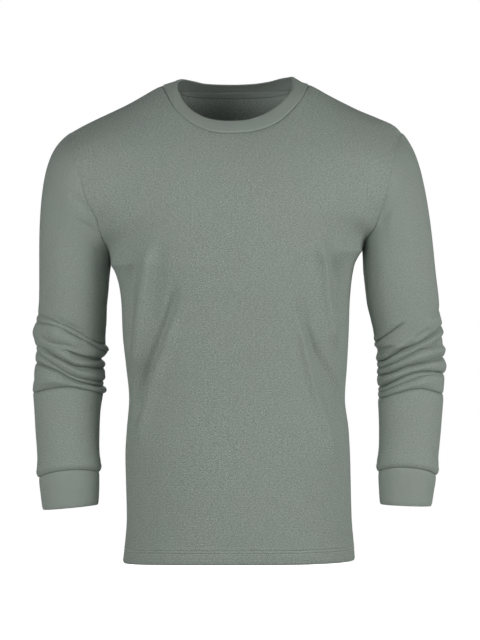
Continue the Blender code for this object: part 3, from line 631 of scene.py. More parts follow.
def even_angles(width, depth, power, start, end, shares):
    """Angles at the given shares of a rounded box section's length."""
    fine = np.linspace(start, end, ANGLE_STEPS)
    across, deep = rounded(fine, power)
    along = lengths_along(np.stack([width * across, depth * deep], axis=1))
    return np.interp(np.asarray(shares) * along[-1], along, fine)


# ---------------------------------------------------------------- the garment's form


def top_of_panel(face, place):
    """The panel's upper edge: right shoulder seam, neckline, left shoulder seam."""
    right_share = np.clip((place + 1) / (1 - NECK_CORNER), 0, 1)
    left_share = np.clip((1 - place) / (1 - NECK_CORNER), 0, 1)
    right = along_curve(points_of(SHOULDER["right"], SHOULDER_DEPTH), right_share)
    left = along_curve(points_of(SHOULDER["left"], SHOULDER_DEPTH), left_share)
    neck = along_curve(points_of(NECK_SEAM[face]), np.clip((place / NECK_CORNER + 1) / 2, 0, 1))
    top = np.where((place < -NECK_CORNER)[:, None], right, neck)
    return np.where((place > NECK_CORNER)[:, None], left, top)


def torso_point(across, drop, way):
    """Points of the torso's rounded sections; way is -1 in front and 1 behind."""
    right = read(TORSO, "right", drop)
    left = read(TORSO, "left", drop)
    depth = read(TORSO, "front" if way < 0 else "back", drop)
    side = (left + right) / 2 + across * (left - right) / 2
    bulge = np.clip(1 - np.abs(across) ** TORSO_POWER, 0, 1) ** (1 / TORSO_POWER)
    return np.stack([side, way * depth * bulge, -drop], axis=-1)


def torso_panel(face):
    """The rows of a panel, shoulder and neck first, hem last."""
    way = -1 if face == "front" else 1
    place = np.linspace(-1, 1, PANEL_COLUMNS + 1)
    angles = even_angles(*TORSO_HALF, TORSO_POWER, math.pi, 0, (place + 1) / 2)
    across = rounded(angles, TORSO_POWER)[0]
    blend = (across + 1) / 2
    armpit = ARMPIT_DROP["right"] * (1 - blend) + ARMPIT_DROP["left"] * blend
    sides = HEM_DROP["right"] * (1 - blend) + HEM_DROP["left"] * blend
    hem = HEM_DROP[face] + (sides - HEM_DROP[face]) * np.abs(across) ** 2
    rows = list(yoke_rows(face, way, place, across, armpit))
    for share in np.linspace(0, 1, BODY_ROWS + 1)[1:-1]:
        rows.append(torso_point(across, armpit + (hem - HEM_ROWS[0] - 2 - armpit) * share, way))
    for above in HEM_ROWS:
        rows.append(torso_point(across, hem - above, way))
    grid = evened_join(np.array(rows), place)
    return lift_folds(grid, FOLDS["torso"], np.zeros(3), start=0.1)


def evened_join(grid, place):
    """Rounds off, in depth only, the bend where the yoke's rows meet the body's."""
    near = smoothstep(0, 1, 1 - np.abs(np.arange(len(grid)) - YOKE_ROWS) / JOIN_ROWS)
    weight = 0.5 * near[1:-1, None] * np.clip((1 - np.abs(place)) / JOIN_EDGE, 0, 1)
    above = grid[:-2, :, 2] - grid[1:-1, :, 2]
    below = grid[1:-1, :, 2] - grid[2:, :, 2]
    for _ in range(JOIN_PASSES):
        middle = (grid[:-2, :, 1] * below + grid[2:, :, 1] * above) / (above + below)
        grid[1:-1, :, 1] += weight * (middle - grid[1:-1, :, 1])
    return grid


def yoke_rows(face, way, place, across, armpit):
    """The rows from the shoulder and neck down to the armpits."""
    shares = np.linspace(1, 0, YOKE_ROWS + 1)
    bottom = torso_point(across, armpit, way)
    top = top_of_panel(face, place)
    right_edge = along_curve(points_of(ARMHOLE["right", face]), shares)
    left_edge = along_curve(points_of(ARMHOLE["left", face]), shares)
    roundness = read(TURN_IN, face, np.abs(place), "place")
    turning = np.clip(roundness - 1, 0, 1)
    rows = []
    for i, share in enumerate(shares):
        rise = turning * math.sin(share * math.pi / 2) + (1 - turning) * share
        fade = np.clip(1 - rise**RISE_POWER, 0, 1) ** (1 / roundness)
        even = read(YOKE, "evenness", share, "share")
        shift = across * (1 - even) + place * even
        flat = read(YOKE, "flatness", share, "share")
        edge_depth = read(YOKE, "edge_" + face, share, "share")
        bulge = np.clip(1 - np.abs(shift) ** TORSO_POWER, 0, 1) ** (1 / (1 + (TORSO_POWER - 1) * flat))
        depth = edge_depth + (YOKE_DEPTH[face] - edge_depth) * bulge
        own = smoothstep(0, CHEST_SHARE, share)
        chest = bottom[:, 1] * (1 - own) + way * depth * own
        side = bottom[:, 0] * (1 - rise) + top[:, 0] * rise
        deep = top[:, 1] + (chest - top[:, 1]) * fade
        high = bottom[:, 2] + (top[:, 2] - bottom[:, 2]) * rise
        row = np.stack([side, deep, high], axis=1)
        right_pull = (right_edge[i] - row[0]) * np.clip(-place, 0, 1)[:, None] ** PULL_POWER
        left_pull = (left_edge[i] - row[-1]) * np.clip(place, 0, 1)[:, None] ** PULL_POWER
        rows.append(row + right_pull + left_pull)
    return eased(np.array(rows), place, shares)


def eased(rows, place, shares):
    """Evens the yoke out from side to side, leaving its edges where they are."""
    inside = np.clip((1 - np.abs(place)) / EASE_EDGE, 0, 1)
    below = np.clip((1 - shares) / EASE_EDGE, 0, 1) * np.clip(shares / EASE_EDGE, 0, 1)
    weight = (0.5 * below[:, None] * inside)[1:-1, 1:-1, None]
    for _ in range(int(EASE_PASSES * (PANEL_COLUMNS / SOLID_COLUMNS) ** 2)):
        middle = (rows[1:-1, :-2] + rows[1:-1, 2:]) / 2
        rows[1:-1, 1:-1] += weight * (middle - rows[1:-1, 1:-1])
    return rows


def armhole_ring(side):
    """The closed armhole seam: armpit, front, shoulder tip, back."""
    shares = np.linspace(0, 1, YOKE_ROWS + 1)
    front = along_curve(points_of(ARMHOLE[side, "front"]), shares)
    back = along_curve(points_of(ARMHOLE[side, "back"]), shares)
    return np.concatenate([front[:-1], back[::-1][:-1]])


def tube_ring(table, side, drop):
    """One section of a sleeve or cuff: innermost point first, then front, outer, back."""
    way = -1 if side == "right" else 1
    inner, outer = read(table, "inner", drop), read(table, "outer", drop)
    half = (outer - inner) / 2
    depth = read(table, "depth", drop)
    shares = np.linspace(0, 1, 2 * YOKE_ROWS + 1)[:-1]
    power = SLEEVE_POWER[side]
    across, deep = rounded(even_angles(half, depth, power, math.pi, -math.pi, shares), power)
    x = way * ((inner + outer) / 2 + half * across)
    y = read(table, "middle", drop) - depth * deep
    bow = read(table, "bow", drop) * (deep**2 - BOW_MIDDLE)
    z = bow - drop - read(table, "tilt", drop) * across / 2
    return np.stack([x, y, z], axis=1)


def drops_between(first, last):
    """Drops of a sleeve's rows, as close together as the steps table says."""
    drops = [first]
    while drops[-1] < last:
        drops.append(drops[-1] + float(read(SLEEVE_STEPS, "step", drops[-1])))
    scale = (last - first) / (drops[-1] - first)
    return [first + (d - first) * scale for d in drops]


def sleeve_tube(side):
    """The sleeve's rings from the armhole seam to the roll over the cuff's seam."""
    table = SLEEVE[side]
    out = -1 if side == "right" else 1
    seam = armhole_ring(side)
    first, last = float(table["drop"][0]), float(table["drop"][-1])
    biceps = tube_ring(table, side, first)
    below = tube_ring(table, side, first + BICEPS_STEP)
    count = len(seam)
    share = 1 - np.abs(np.arange(count) / (count / 2) - 1)
    behind = np.where(np.arange(count) > count / 2, 1.0, -1.0)
    leave = [
        out * read(CAP, "out", share, "share"),
        -behind * read(CAP, "inward", share, "share"),
        -read(CAP, "down", share, "share"),
    ]
    start = read(CAP, "start", share, "share")[:, None]
    handle_a = seam + unit(np.stack(leave, axis=1)) * start * CAP_REACH[side]
    handle_b = biceps - unit(below - biceps) * read(CAP, "end", share, "share")[:, None]
    rings = []
    for t in np.linspace(0, 1, CAP_ROWS + 1)[:-1]:
        near = seam * (1 - t) ** 3 + handle_a * 3 * t * (1 - t) ** 2
        rings.append(near + handle_b * 3 * t**2 * (1 - t) + biceps * t**3)
    roll = CUFF_ROLL[1]
    for drop in drops_between(first, last + roll[0][0] - SLEEVE_STEPS["step"][-1]):
        rings.append(tube_ring(table, side, drop))
    centre = np.array([out * SLEEVE_CENTRE[0], SLEEVE_CENTRE[1], 0.0])
    grid = lift_folds(np.array(rings), FOLDS[side], centre, closed=True)
    return np.concatenate([grid, cuff_roll(side, roll)])


def cuff_roll(side, roll):
    """The rings that puff out over the cuff's seam and turn under to it."""
    table = SLEEVE[side]
    last = float(table["drop"][-1])
    rings = []
    for down, out in roll:
        ring = tube_ring(table, side, min(last + down, last - 6))
        centre = ring.mean(axis=0)
        away = unit((ring - centre) * np.array([1, 1, 0]))
        base = tube_ring(table, side, last)
        share = smoothstep(-9, 2, down)
        even = ring * (1 - share) + base * share
        even[:, 2] = base[:, 2] - down
        rings.append(even + away * out)
    return np.array(rings)


def cuff_tube(side):
    """The cuff's rings from its seam down to its folded edge."""
    table = CUFF[side]
    shares = np.linspace(0, 1, CUFF_ROWS + 1)
    first, last = float(table["drop"][0]), float(table["drop"][-1])
    rings = [tube_ring(table, side, first + (last - first) * s) for s in shares]
    return np.array(rings)


def neckband_tube():
    """The neckband's rings from its folded top edge down to its seam."""
    place = np.linspace(-1, 1, PANEL_COLUMNS + 1)
    inside = place[np.abs(place) <= NECK_CORNER + 1e-6]
    shares = (inside / NECK_CORNER + 1) / 2
    ring = {}
    for name, table in (("seam", NECK_SEAM), ("edge", NECK_EDGE)):
        front = along_curve(points_of(table["front"]), shares)
        back = along_curve(points_of(table["back"]), shares)
        ring[name] = np.concatenate([front[:-1], back[::-1][:-1]])
    seam, edge = ring["seam"], ring["edge"]
    away = unit(np.stack([seam[:, 0], seam[:, 1], np.full(len(seam), 40.0)], axis=1))
    rings = []
    for t in np.linspace(1, 0, BAND_ROWS + 1):
        rings.append(seam + (edge - seam) * t + away * BAND_CROWN * 4 * t * (1 - t))
    return np.array(rings)


def distance_to_path(path, side, drop):
    """Each point's distance from a smooth path, place along it (0 to 1) and height above."""
    path = np.array(path, float)
    path = np.stack([path[:, 0], np.zeros(len(path)), path[:, 1]], axis=1)
    line = along_curve(path, np.linspace(0, 1, PATH_STEPS))[:, ::2]
    best = np.full(side.shape, np.inf)
    along = np.zeros(side.shape)
    above = np.zeros(side.shape)
    for i, (a, b) in enumerate(zip(line[:-1], line[1:])):
        way = b - a
        t = np.clip(((side - a[0]) * way[0] + (drop - a[1]) * way[1]) / (way @ way), 0, 1)
        far = np.hypot(side - a[0] - t * way[0], drop - a[1] - t * way[1])
        along = np.where(far < best, (i + t) / (len(line) - 1), along)
        above = np.where(far < best, a[1] + t * way[1] - drop, above)
        best = np.minimum(far, best)
    return best, along, above


def lift_folds(grid, folds, centre, closed=False, start=-0.8):
    """Moves a surface out along each ridge and in along each trough.

    A fold fades out where the cloth turns to the other face, from the start on.
    """
    normal = grid_normals(grid, closed)
    if np.sum(normal * (grid - grid.mean(axis=(0, 1)))) < 0:
        normal = -normal
    side, drop = grid[..., 0], -grid[..., 2]
    depth = (grid[..., 1] - centre[1]) / FACE_DEPTH
    lift = np.zeros(side.shape)
    hang = np.zeros(side.shape)
    rows = [(face, *fold) for face, lines in folds.items() for fold in lines]
    for face, kind, height, reach, path in rows:
        far, along, above = distance_to_path(path, side, drop)
        facing = -depth if face == "front" else depth
        fade = smoothstep(start, start + 0.7, facing) * (0.35 + 0.65 * smoothstep(-0.1, 0.5, facing))
        fade *= smoothstep(0, 0.2, along) * smoothstep(0, 0.2, 1 - along)
        if kind == "crease":
            shape = np.exp(-(np.sqrt(far**2 + CREASE_TIP**2) - CREASE_TIP) / reach)
            near = np.where(above > 0, far / reach, 0)
            hang += CREASE_HANG * reach * fade * near * np.exp(1 - near)
        else:
            shape = np.exp(-((far / reach) ** 2))
        lift += height * shape * fade
    lifted = grid + normal * lift[..., None]
    lifted[..., 2] -= hang
    return lifted


# ---------------------------------------------------------------- cloth shells


def grid_quads(rows, columns, closed):
    """Quads of a grid as rows of four numbers, and the columns of their corners."""
    last = columns if closed else columns - 1
    r, c = np.meshgrid(np.arange(rows - 1), np.arange(last), indexing="ij")
    d = (c + 1) % columns
    here, below = r * columns, (r + 1) * columns
    quads = np.stack([here + c, below + c, below + d, here + d], axis=-1)
    spots = np.stack([r, r + 1, r + 1, r], axis=-1), np.stack([c, c, c + 1, c + 1], axis=-1)
    return quads.reshape(-1, 4), [s.reshape(-1, 4) for s in spots]


def grid_normals(grid, closed):
    """The mean direction of the faces round each of a grid's points."""
    rows, columns = grid.shape[:2]
    points = grid.reshape(-1, 3)
    quads, _ = grid_quads(rows, columns, closed)
    across = points[quads[:, 2]] - points[quads[:, 0]]
    down = points[quads[:, 3]] - points[quads[:, 1]]
    flat = unit(np.cross(across, down))
    normal = np.zeros_like(points)
    for k in range(4):
        np.add.at(normal, quads[:, k], flat)
    return unit(normal).reshape(grid.shape)


class Cloth:
    """One cut piece: a grid of points with its faces pointing out, and its edges' kinds."""

    def __init__(self, grid, closed=True, flip=False, seams=None, fold=None, group=None):
        self.points = grid[:, ::-1].copy() if flip else grid
        self.closed = closed
        self.seams = seams or {}
        self.fold = fold
        self.group = group
        self.normals = grid_normals(self.points, closed)
        self.mitre = np.ones(self.points.shape[:2])

    def border(self, name):
        """The row or column of an edge, as an index into the grid."""
        places = {"first": (0, slice(None)), "last": (-1, slice(None)), "right": (slice(None), 0)}
        return places.get(name, (slice(None), -1))

    def add_lines(self):
        """Extra rows and columns close to each seam, for its groove."""
        for name in self.seams:
            axis = 0 if name in ("first", "last") else 1
            ahead = name in ("first", "right")
            for field in ("points", "normals", "mitre"):
                value = np.moveaxis(getattr(self, field), axis, 0)
                if not ahead:
                    value = value[::-1]
                extra = [value[0] * (1 - s) + value[1] * s for s in EDGE_LINES]
                value = np.concatenate([value[:1], extra, value[1:]])
                if not ahead:
                    value = value[::-1]
                setattr(self, field, np.moveaxis(value, 0, axis))
        self.normals = unit(self.normals)

    def edge_distance(self, name):
        """How far each point is from one edge, along its row or column."""
        axis = 0 if name in ("first", "last") else 1
        points = np.moveaxis(self.points, axis, 0)
        if name in ("last", "left"):
            points = points[::-1]
        along = lengths_along(points)
        if name in ("last", "left"):
            along = along[::-1]
        return np.moveaxis(along, 0, axis)

    def seam_relief(self):
        """The groove at each seam and the low ridge beside it."""
        groove = np.zeros(self.points.shape[:2])
        ridge = np.zeros(self.points.shape[:2])
        for name, kinds in self.seams.items():
            far = self.edge_distance(name)
            for kind, share in kinds(self, name):
                dip, width, height, place, spread = SEAMS[kind]
                groove = np.minimum(groove, share * -dip * np.exp(-((far / width) ** 2)))
                ridge += share * height * np.exp(-(((far - place) / spread) ** 2))
        fill = 0
        for side, depth, drop, out, width in TIP_FILL:
            away = np.linalg.norm(self.points - np.array([side, depth, -drop]), axis=-1)
            fill = fill + out * np.exp(-((away / width) ** 2))
        return groove + ridge + fill

    def flat_pattern(self):
        """The cloth's own distances across and up each point, with a closing column."""
        points = self.points
        if self.closed:
            points = np.concatenate([points, points[:, :1]], axis=1)
        across = lengths_along(points.swapaxes(0, 1)).T
        across = across - across[:, across.shape[1] // 2][:, None]
        up = lengths_along(points[::-1])[::-1]
        return np.stack([across, up], axis=-1) * MM


def weld_seams(pieces):
    """Gives the points that pieces share at their seams one common normal."""
    total = {}
    for piece in pieces.values():
        for name in piece.seams:
            spot = piece.border(name)
            for point, normal in zip(piece.points[spot], piece.normals[spot]):
                groups = total.setdefault(tuple(np.round(point, 2)), {})
                groups.setdefault(piece.group, []).append(normal)
    common = {}
    for key, groups in total.items():
        common[key] = unit(sum(unit(np.sum(normals, axis=0)) for normals in groups.values()))
    for piece in pieces.values():
        own = piece.normals.copy()
        for name in piece.seams:
            spot = piece.border(name)
            piece.normals[spot] = [common[tuple(np.round(p, 2))] for p in piece.points[spot]]
        piece.mitre = np.clip(1 / np.maximum((own * piece.normals).sum(-1), 0.1), 1, MITRE_LIMIT)


def band_edge(piece, name):
    """The neckband's seam, lying over the panels all along."""
    return (("band", 1.0),)


def cap_edge(piece, name):
    """The sleeve's armhole seam, passing under the panels, deepest at the armpit."""
    count = piece.points.shape[1]
    up = 1 - np.abs(np.arange(count) / (count / 2) - 1)[None, :]
    return (("under", ARMHOLE_TOP + (1 - ARMHOLE_TOP) * smoothstep(0.8, 0.15, up)),)


def top_edge(piece, name):
    """Shoulder seams, and between them the neckline, which passes under the neckband."""
    place = np.linspace(-1, 1, piece.points.shape[1])
    neck = smoothstep(NECK_CORNER + 0.03, NECK_CORNER - 0.03, np.abs(place))[None, :]
    return (("neckline", neck), ("plain", 1 - neck))


def side_edge(piece, name):
    """Armhole seam, lying over the sleeve, and below it the side seam."""
    rows = np.arange(len(piece.points))[:, None]
    armhole = smoothstep(YOKE_ROWS + 6, YOKE_ROWS - 2, rows)
    deep = ARMHOLE_TOP + (1 - ARMHOLE_TOP) * smoothstep(0.2 * YOKE_ROWS, 0.85 * YOKE_ROWS, rows)
    return (("over", armhole * deep), ("plain", 1 - armhole))


@functools.lru_cache(maxsize=1)
def garment():
    """All the cut pieces of cloth, sewn together."""
    pieces = {}
    for face in ("front", "back"):
        pieces[face + "_panel"] = Cloth(
            torso_panel(face),
            closed=False,
            flip=face == "back",
            seams={"first": top_edge, "right": side_edge, "left": side_edge},
            fold="last",
            group="torso",
        )
    for side in ("right", "left"):
        flip = side == "right"
        seams = {"first": cap_edge}
        pieces[side + "_sleeve"] = Cloth(sleeve_tube(side), flip=flip, seams=seams, group=side + "_sleeve")
        pieces[side + "_cuff"] = Cloth(cuff_tube(side), flip=flip, fold="last", group=side + "_cuff")
    pieces["neckband"] = Cloth(neckband_tube(), seams={"last": band_edge}, fold="first", group="neckband")
    weld_seams(pieces)
    for piece in pieces.values():
        piece.add_lines()
    return pieces


def shell(name, piece, wall, relief):
    """A closed mesh of a piece's outer and inner walls, with its edges closed."""
    rows, columns = piece.points.shape[:2]
    wall = np.broadcast_to(np.asarray(wall, float).reshape(-1, 1), (rows, columns))
    outer = piece.points + piece.normals * relief[..., None]
    inner = piece.points - piece.normals * (wall * piece.mitre)[..., None]
    flat = piece.flat_pattern()
    quads, (spot_r, spot_c) = grid_quads(rows, columns, piece.closed)
    points = [outer.reshape(-1, 3), inner.reshape(-1, 3)]
    count = rows * columns
    faces = [quads, quads[:, ::-1] + count]
    uvs = [flat[spot_r, spot_c], flat[spot_r[:, ::-1], spot_c[:, ::-1]]]
    numbers = np.arange(count).reshape(rows, columns)
    edge_names = ("first", "last") if piece.closed else ("first", "last", "right", "left")
    extra = 2 * count
    ends = {}
    for edge in edge_names:
        spot = piece.border(edge)
        ring = numbers[spot]
        uv = flat[spot]
        if piece.closed:
            ring = np.append(ring, ring[0])
        lines = [ring]
        if edge == piece.fold:
            one_in = {"first": 1, "last": -2}[edge]
            middle = (outer[spot] + inner[spot]) / 2
            beyond = unit(outer[spot] - outer[one_in])
            half = np.linalg.norm(outer[spot] - inner[spot], axis=-1)[:, None] / 2
            for k in range(1, FOLD_STEPS + 1):
                turn = math.pi * k / (FOLD_STEPS + 1)
                round_over = (outer[spot] - middle) * math.cos(turn)
                points.append(middle + round_over + beyond * half * math.sin(turn))
                line = np.arange(extra, extra + columns)
                extra += columns
                lines.append(np.append(line, line[0]) if piece.closed else line)
        lines.append(ring + count)
        ends[edge] = lines
        outward = edge in ("last", "right")
        for a, b in zip(lines[:-1], lines[1:]):
            strip = np.stack([a[:-1], b[:-1], b[1:], a[1:]], axis=-1)
            strip_uv = np.stack([uv[:-1], uv[:-1], uv[1:], uv[1:]], axis=1)
            if not outward:
                strip, strip_uv = strip[:, ::-1], strip_uv[:, ::-1]
            faces.append(strip)
            uvs.append(strip_uv)
    faces = np.concatenate(faces).tolist()
    uvs = np.concatenate(uvs).reshape(-1, 2)
    if piece.fold and not piece.closed:
        uv = flat[piece.border(piece.fold)]
        for corners, corner_uv in fold_ends(ends[piece.fold], uv):
            faces.append(corners)
            uvs = np.concatenate([uvs, [corner_uv] * len(corners)])
    return mesh_object(name, np.concatenate(points) * MM, faces, uvs)


def fold_ends(lines, uv):
    """The faces that fill the two ends of a panel's folded edge, each with its place in uv."""
    return [([int(line[end]) for line in lines][::turn], uv[end]) for end, turn in ((0, 1), (-1, -1))]


def mesh_object(name, points, faces, uvs=None):
    """A new object at the origin, in the scene's own collection."""
    mesh = bpy.data.meshes.new(name)
    mesh.from_pydata(points.tolist(), [], faces)
    if uvs is not None:
        layer = mesh.uv_layers.new(name="flat_pattern")
        layer.data.foreach_set("uv", np.ascontiguousarray(uvs, dtype=np.float32).ravel())
    mesh.update()
    mesh.shade_smooth()
    obj = bpy.data.objects.new(name, mesh)
    bpy.context.scene.collection.objects.link(obj)
    return obj


# ---------------------------------------------------------------- materials


class Nodes:
    """Adds nodes to a tree and links them, in few words."""

    def __init__(self, tree):
        self.tree = tree
        self.column = 0

    def add(self, kind, links=None, **settings):
        node = self.tree.nodes.new(kind)
        node.location = (self.column * 190, 0)
        self.column += 1
        for key, value in settings.items():
            setattr(node, key, value)
        for socket, value in (links or {}).items():
            if isinstance(value, bpy.types.NodeSocket):
                self.tree.links.new(value, node.inputs[socket])
            else:
                node.inputs[socket].default_value = value
        return node

    def math(self, operation, *values):
        return self.add("ShaderNodeMath", dict(enumerate(values)), operation=operation).outputs[0]

    def vector(self, operation, *values):
        return self.add("ShaderNodeVectorMath", dict(enumerate(values)), operation=operation).outputs[0]

    def mix(self, factor, a, b):
        node = self.add("ShaderNodeMix", data_type="RGBA", blend_type="MIX")
        for socket, value in (("Factor_Float", factor), ("A_Color", a), ("B_Color", b)):
            target = next(s for s in node.inputs if s.identifier == socket)
            if isinstance(value, bpy.types.NodeSocket):
                self.tree.links.new(value, target)
            else:
                target.default_value = value if socket == "Factor_Float" else (*value[:3], 1)
        return next(s for s in node.outputs if s.identifier == "Result_Color")


def node_group(name, inputs, outputs):
    """A shader group with named sockets, a helper for its nodes, and its two ends."""
    tree = bpy.data.node_groups.new(name, "ShaderNodeTree")
    for label, kind, default in inputs:
        socket = tree.interface.new_socket(label, in_out="INPUT", socket_type=kind)
        if default is not None:
            socket.default_value = default
    for label, kind in outputs:
        tree.interface.new_socket(label, in_out="OUTPUT", socket_type=kind)
    nodes = Nodes(tree)
    return tree, nodes, nodes.add("NodeGroupInput"), nodes.add("NodeGroupOutput")


@functools.lru_cache(maxsize=1)
def waffle_group():
    """Raised yarns round small pits, in rows that step by half a cell."""
    tree, n, inside, out = node_group(
        "waffle_relief",
        (
            ("Vector", "NodeSocketVector", None),
            ("Cell Width", "NodeSocketFloat", 0.0025),
            ("Cell Height", "NodeSocketFloat", 0.0021),
            ("Wander", "NodeSocketFloat", 0.0011),
        ),
        (("Height", "NodeSocketFloat"), ("Pit", "NodeSocketFloat")),
    )
    place = inside.outputs["Vector"]
    noise = {"Vector": place, "Scale": 190.0, "Detail": 3.0}
    wander = n.add("ShaderNodeTexNoise", noise, noise_dimensions="2D")
    parts = n.add("ShaderNodeSeparateColor", {"Color": wander.outputs["Color"]})
    split = n.add("ShaderNodeSeparateXYZ", {"Vector": place})
    sway = inside.outputs["Wander"]
    swayed = []
    for part, axis in enumerate("XY"):
        push = n.math("MULTIPLY", n.math("SUBTRACT", parts.outputs[part], 0.5), sway)
        swayed.append(n.math("ADD", split.outputs[axis], push))
    u, v = swayed
    down = n.math("DIVIDE", v, inside.outputs["Cell Height"])
    step = n.math("MULTIPLY", n.math("FLOOR", down), 0.5)
    across = n.math("ADD", n.math("DIVIDE", u, inside.outputs["Cell Width"]), step)
    waves = []
    for value in (across, down):
        wave = n.math("COSINE", n.math("MULTIPLY", value, 2 * math.pi))
        waves.append(n.math("MULTIPLY_ADD", wave, -0.5, 0.5))
    pit = n.math("MULTIPLY", *waves)
    n.tree.links.new(pit, out.inputs["Pit"])
    n.tree.links.new(n.math("SUBTRACT", 1.0, pit), out.inputs["Height"])
    return tree


@functools.lru_cache(maxsize=1)
def rib_group():
    """Fine upright ribs of jersey loops."""
    tree, n, inside, out = node_group(
        "rib_relief",
        (
            ("Vector", "NodeSocketVector", None),
            ("Pitch", "NodeSocketFloat", 0.0015),
            ("Loop", "NodeSocketFloat", 0.0011),
        ),
        (("Height", "NodeSocketFloat"), ("Furrow", "NodeSocketFloat")),
    )
    split = n.add("ShaderNodeSeparateXYZ", {"Vector": inside.outputs["Vector"]})
    across = n.math("DIVIDE", split.outputs["X"], inside.outputs["Pitch"])
    wave = n.math("COSINE", n.math("MULTIPLY", across, 2 * math.pi))
    ridge = n.math("MULTIPLY_ADD", wave, 0.5, 0.5)
    up = n.math("DIVIDE", split.outputs["Y"], inside.outputs["Loop"])
    loops = n.math("SINE", n.math("MULTIPLY", up, 2 * math.pi))
    n.tree.links.new(n.math("MULTIPLY_ADD", loops, 0.12, ridge), out.inputs["Height"])
    n.tree.links.new(n.math("SUBTRACT", 1.0, ridge), out.inputs["Furrow"])
    return tree


@functools.lru_cache(maxsize=1)
def yarn_group():
    """Uneven lights and darks of spun yarn over a colour: short dashes along the rows,
    dots between them, and broad clouds that lean to one hue or another."""
    tree, n, inside, out = node_group(
        "yarn_colour",
        (
            ("Vector", "NodeSocketVector", None),
            ("Colour", "NodeSocketColor", (0.25, 0.29, 0.26, 1)),
            ("Dash", "NodeSocketFloat", 0.4),
            ("Dot", "NodeSocketFloat", 0.4),
            ("Cloud", "NodeSocketFloat", 0.1),
            ("Hue", "NodeSocketFloat", 0.05),
        ),
        (("Colour", "NodeSocketColor"), ("Fuzz", "NodeSocketFloat")),
    )
    place = inside.outputs["Vector"]
    rows = n.vector("MULTIPLY", place, (0.5, 1.7, 1.0))
    noises = [
        n.add("ShaderNodeTexNoise", {"Vector": at, "Scale": scale, "Detail": detail, "Roughness": rough})
        for at, scale, detail, rough in (
            (rows, 640.0, 2.0, 0.65),
            (place, 620.0, 1.0, 0.6),
            (place, 60.0, 3.0, 0.65),
            (place, 11.0, 2.0, 0.5),
        )
    ]
    dash, dot, cloud, hue = noises
    amount = 1.0
    for noise, name in ((dash, "Dash"), (dot, "Dot"), (cloud, "Cloud")):
        swing = n.math("SUBTRACT", noise.outputs["Fac"], 0.5)
        amount = n.math("MULTIPLY_ADD", swing, inside.outputs[name], amount)
    lean = n.vector("SUBTRACT", hue.outputs["Color"], (0.5, 0.5, 0.5))
    scaled = {0: lean, "Scale": inside.outputs["Hue"]}
    lean = n.add("ShaderNodeVectorMath", scaled, operation="SCALE").outputs[0]
    tinted = n.vector("MULTIPLY", inside.outputs["Colour"], n.vector("ADD", lean, amount))
    n.tree.links.new(tinted, out.inputs["Colour"])
    n.tree.links.new(dash.outputs["Fac"], out.inputs["Fuzz"])
    return tree


def knit(nodes, shader, relief, yarn, pit, look):
    """Paints shade into the knit's pits or furrows by darkening the yarn's colour there, and raises the
    relief as bump.
    """
    # painted shade: the yarn's colour is darkened in the knit's pits or furrows
    pits = nodes.math("MULTIPLY", relief.outputs[pit], look["pit_shade_share"])
    base = nodes.mix(pits, yarn.outputs["Colour"], look["pit_shade_colour"])
    height = relief.outputs["Height"]
    finish(nodes, shader, base, yarn, look["fuzz"], height, look["strength"], look["distance"])


def finish(nodes, shader, base, yarn, fuzz, height, strength, distance):
    """Gives a material its colour, and its yarn's fuzz and relief as bump."""
    nodes.tree.links.new(base, shader.inputs["Base Color"])
    raised = nodes.math("MULTIPLY_ADD", yarn.outputs["Fuzz"], fuzz, height)
    sizes = {"Strength": strength, "Distance": distance, "Height": raised}
    bump = nodes.add("ShaderNodeBump", sizes)
    nodes.tree.links.new(bump.outputs["Normal"], shader.inputs["Normal"])


# How much shade is painted into a knit's pits or furrows and the painted shade's colour, and how its yarn
# and relief raise the bump
LOOK_COLUMNS = ("pit_shade_share", "pit_shade_colour", "fuzz", "strength", "distance")
WAFFLE_LOOK = dict(zip(LOOK_COLUMNS, (0.28, (0.12, 0.145, 0.127), 0.9, 0.6, 0.0005)))
RIB_LOOK = dict(zip(LOOK_COLUMNS, (0.15, (0.13, 0.155, 0.135), 0.3, 0.4, 0.0003)))


def new_material(name, colour, roughness):
    """A matt cloth material with its Principled shader."""
    material = bpy.data.materials.new(name)
    material.use_nodes = True
    material.diffuse_color = (*colour, 1)
    tree = material.node_tree
    shader = tree.nodes["Principled BSDF"]
    shader.inputs["Roughness"].default_value = roughness
    shader.inputs["Specular IOR Level"].default_value = 0.25
    shader.inputs["Sheen Weight"].default_value = 0.06
    shader.inputs["Sheen Roughness"].default_value = 0.5
    return material, shader, Nodes(tree)


@functools.lru_cache(maxsize=2)
def waffle_material(name, share):
    """The waffle knit; share is how strong its lights and darks are."""
    cloth = bpy.context.scene.top_cloth
    material, shader, n = new_material(name, cloth.colour, 0.92)
    uv = n.add("ShaderNodeUVMap", uv_map="flat_pattern").outputs["UV"]
    sizes = {"Vector": uv, "Cell Width": cloth.waffle_across, "Cell Height": cloth.waffle_down}
    relief = n.add("ShaderNodeGroup", sizes, node_tree=waffle_group())
    swings = {"Dash": 1.6 * share, "Dot": 1.1 * share, "Cloud": 0.12 * share, "Hue": 0.06}
    yarn = yarn_node(n, uv, cloth.colour, swings)
    knit(n, shader, relief, yarn, "Pit", WAFFLE_LOOK)
    return material


@functools.lru_cache(maxsize=1)
def rib_material():
    """The fine rib of the neckband and cuffs."""
    rib = bpy.context.scene.top_rib
    material, shader, n = new_material("fine_rib", rib.colour, 0.9)
    uv = n.add("ShaderNodeUVMap", uv_map="flat_pattern").outputs["UV"]
    relief = n.add("ShaderNodeGroup", {"Vector": uv, "Pitch": rib.pitch}, node_tree=rib_group())
    yarn = yarn_node(n, uv, rib.colour, {"Dash": 0.12, "Dot": 0.25, "Cloud": 0.1, "Hue": 0.08})
    knit(n, shader, relief, yarn, "Furrow", RIB_LOOK)
    return material


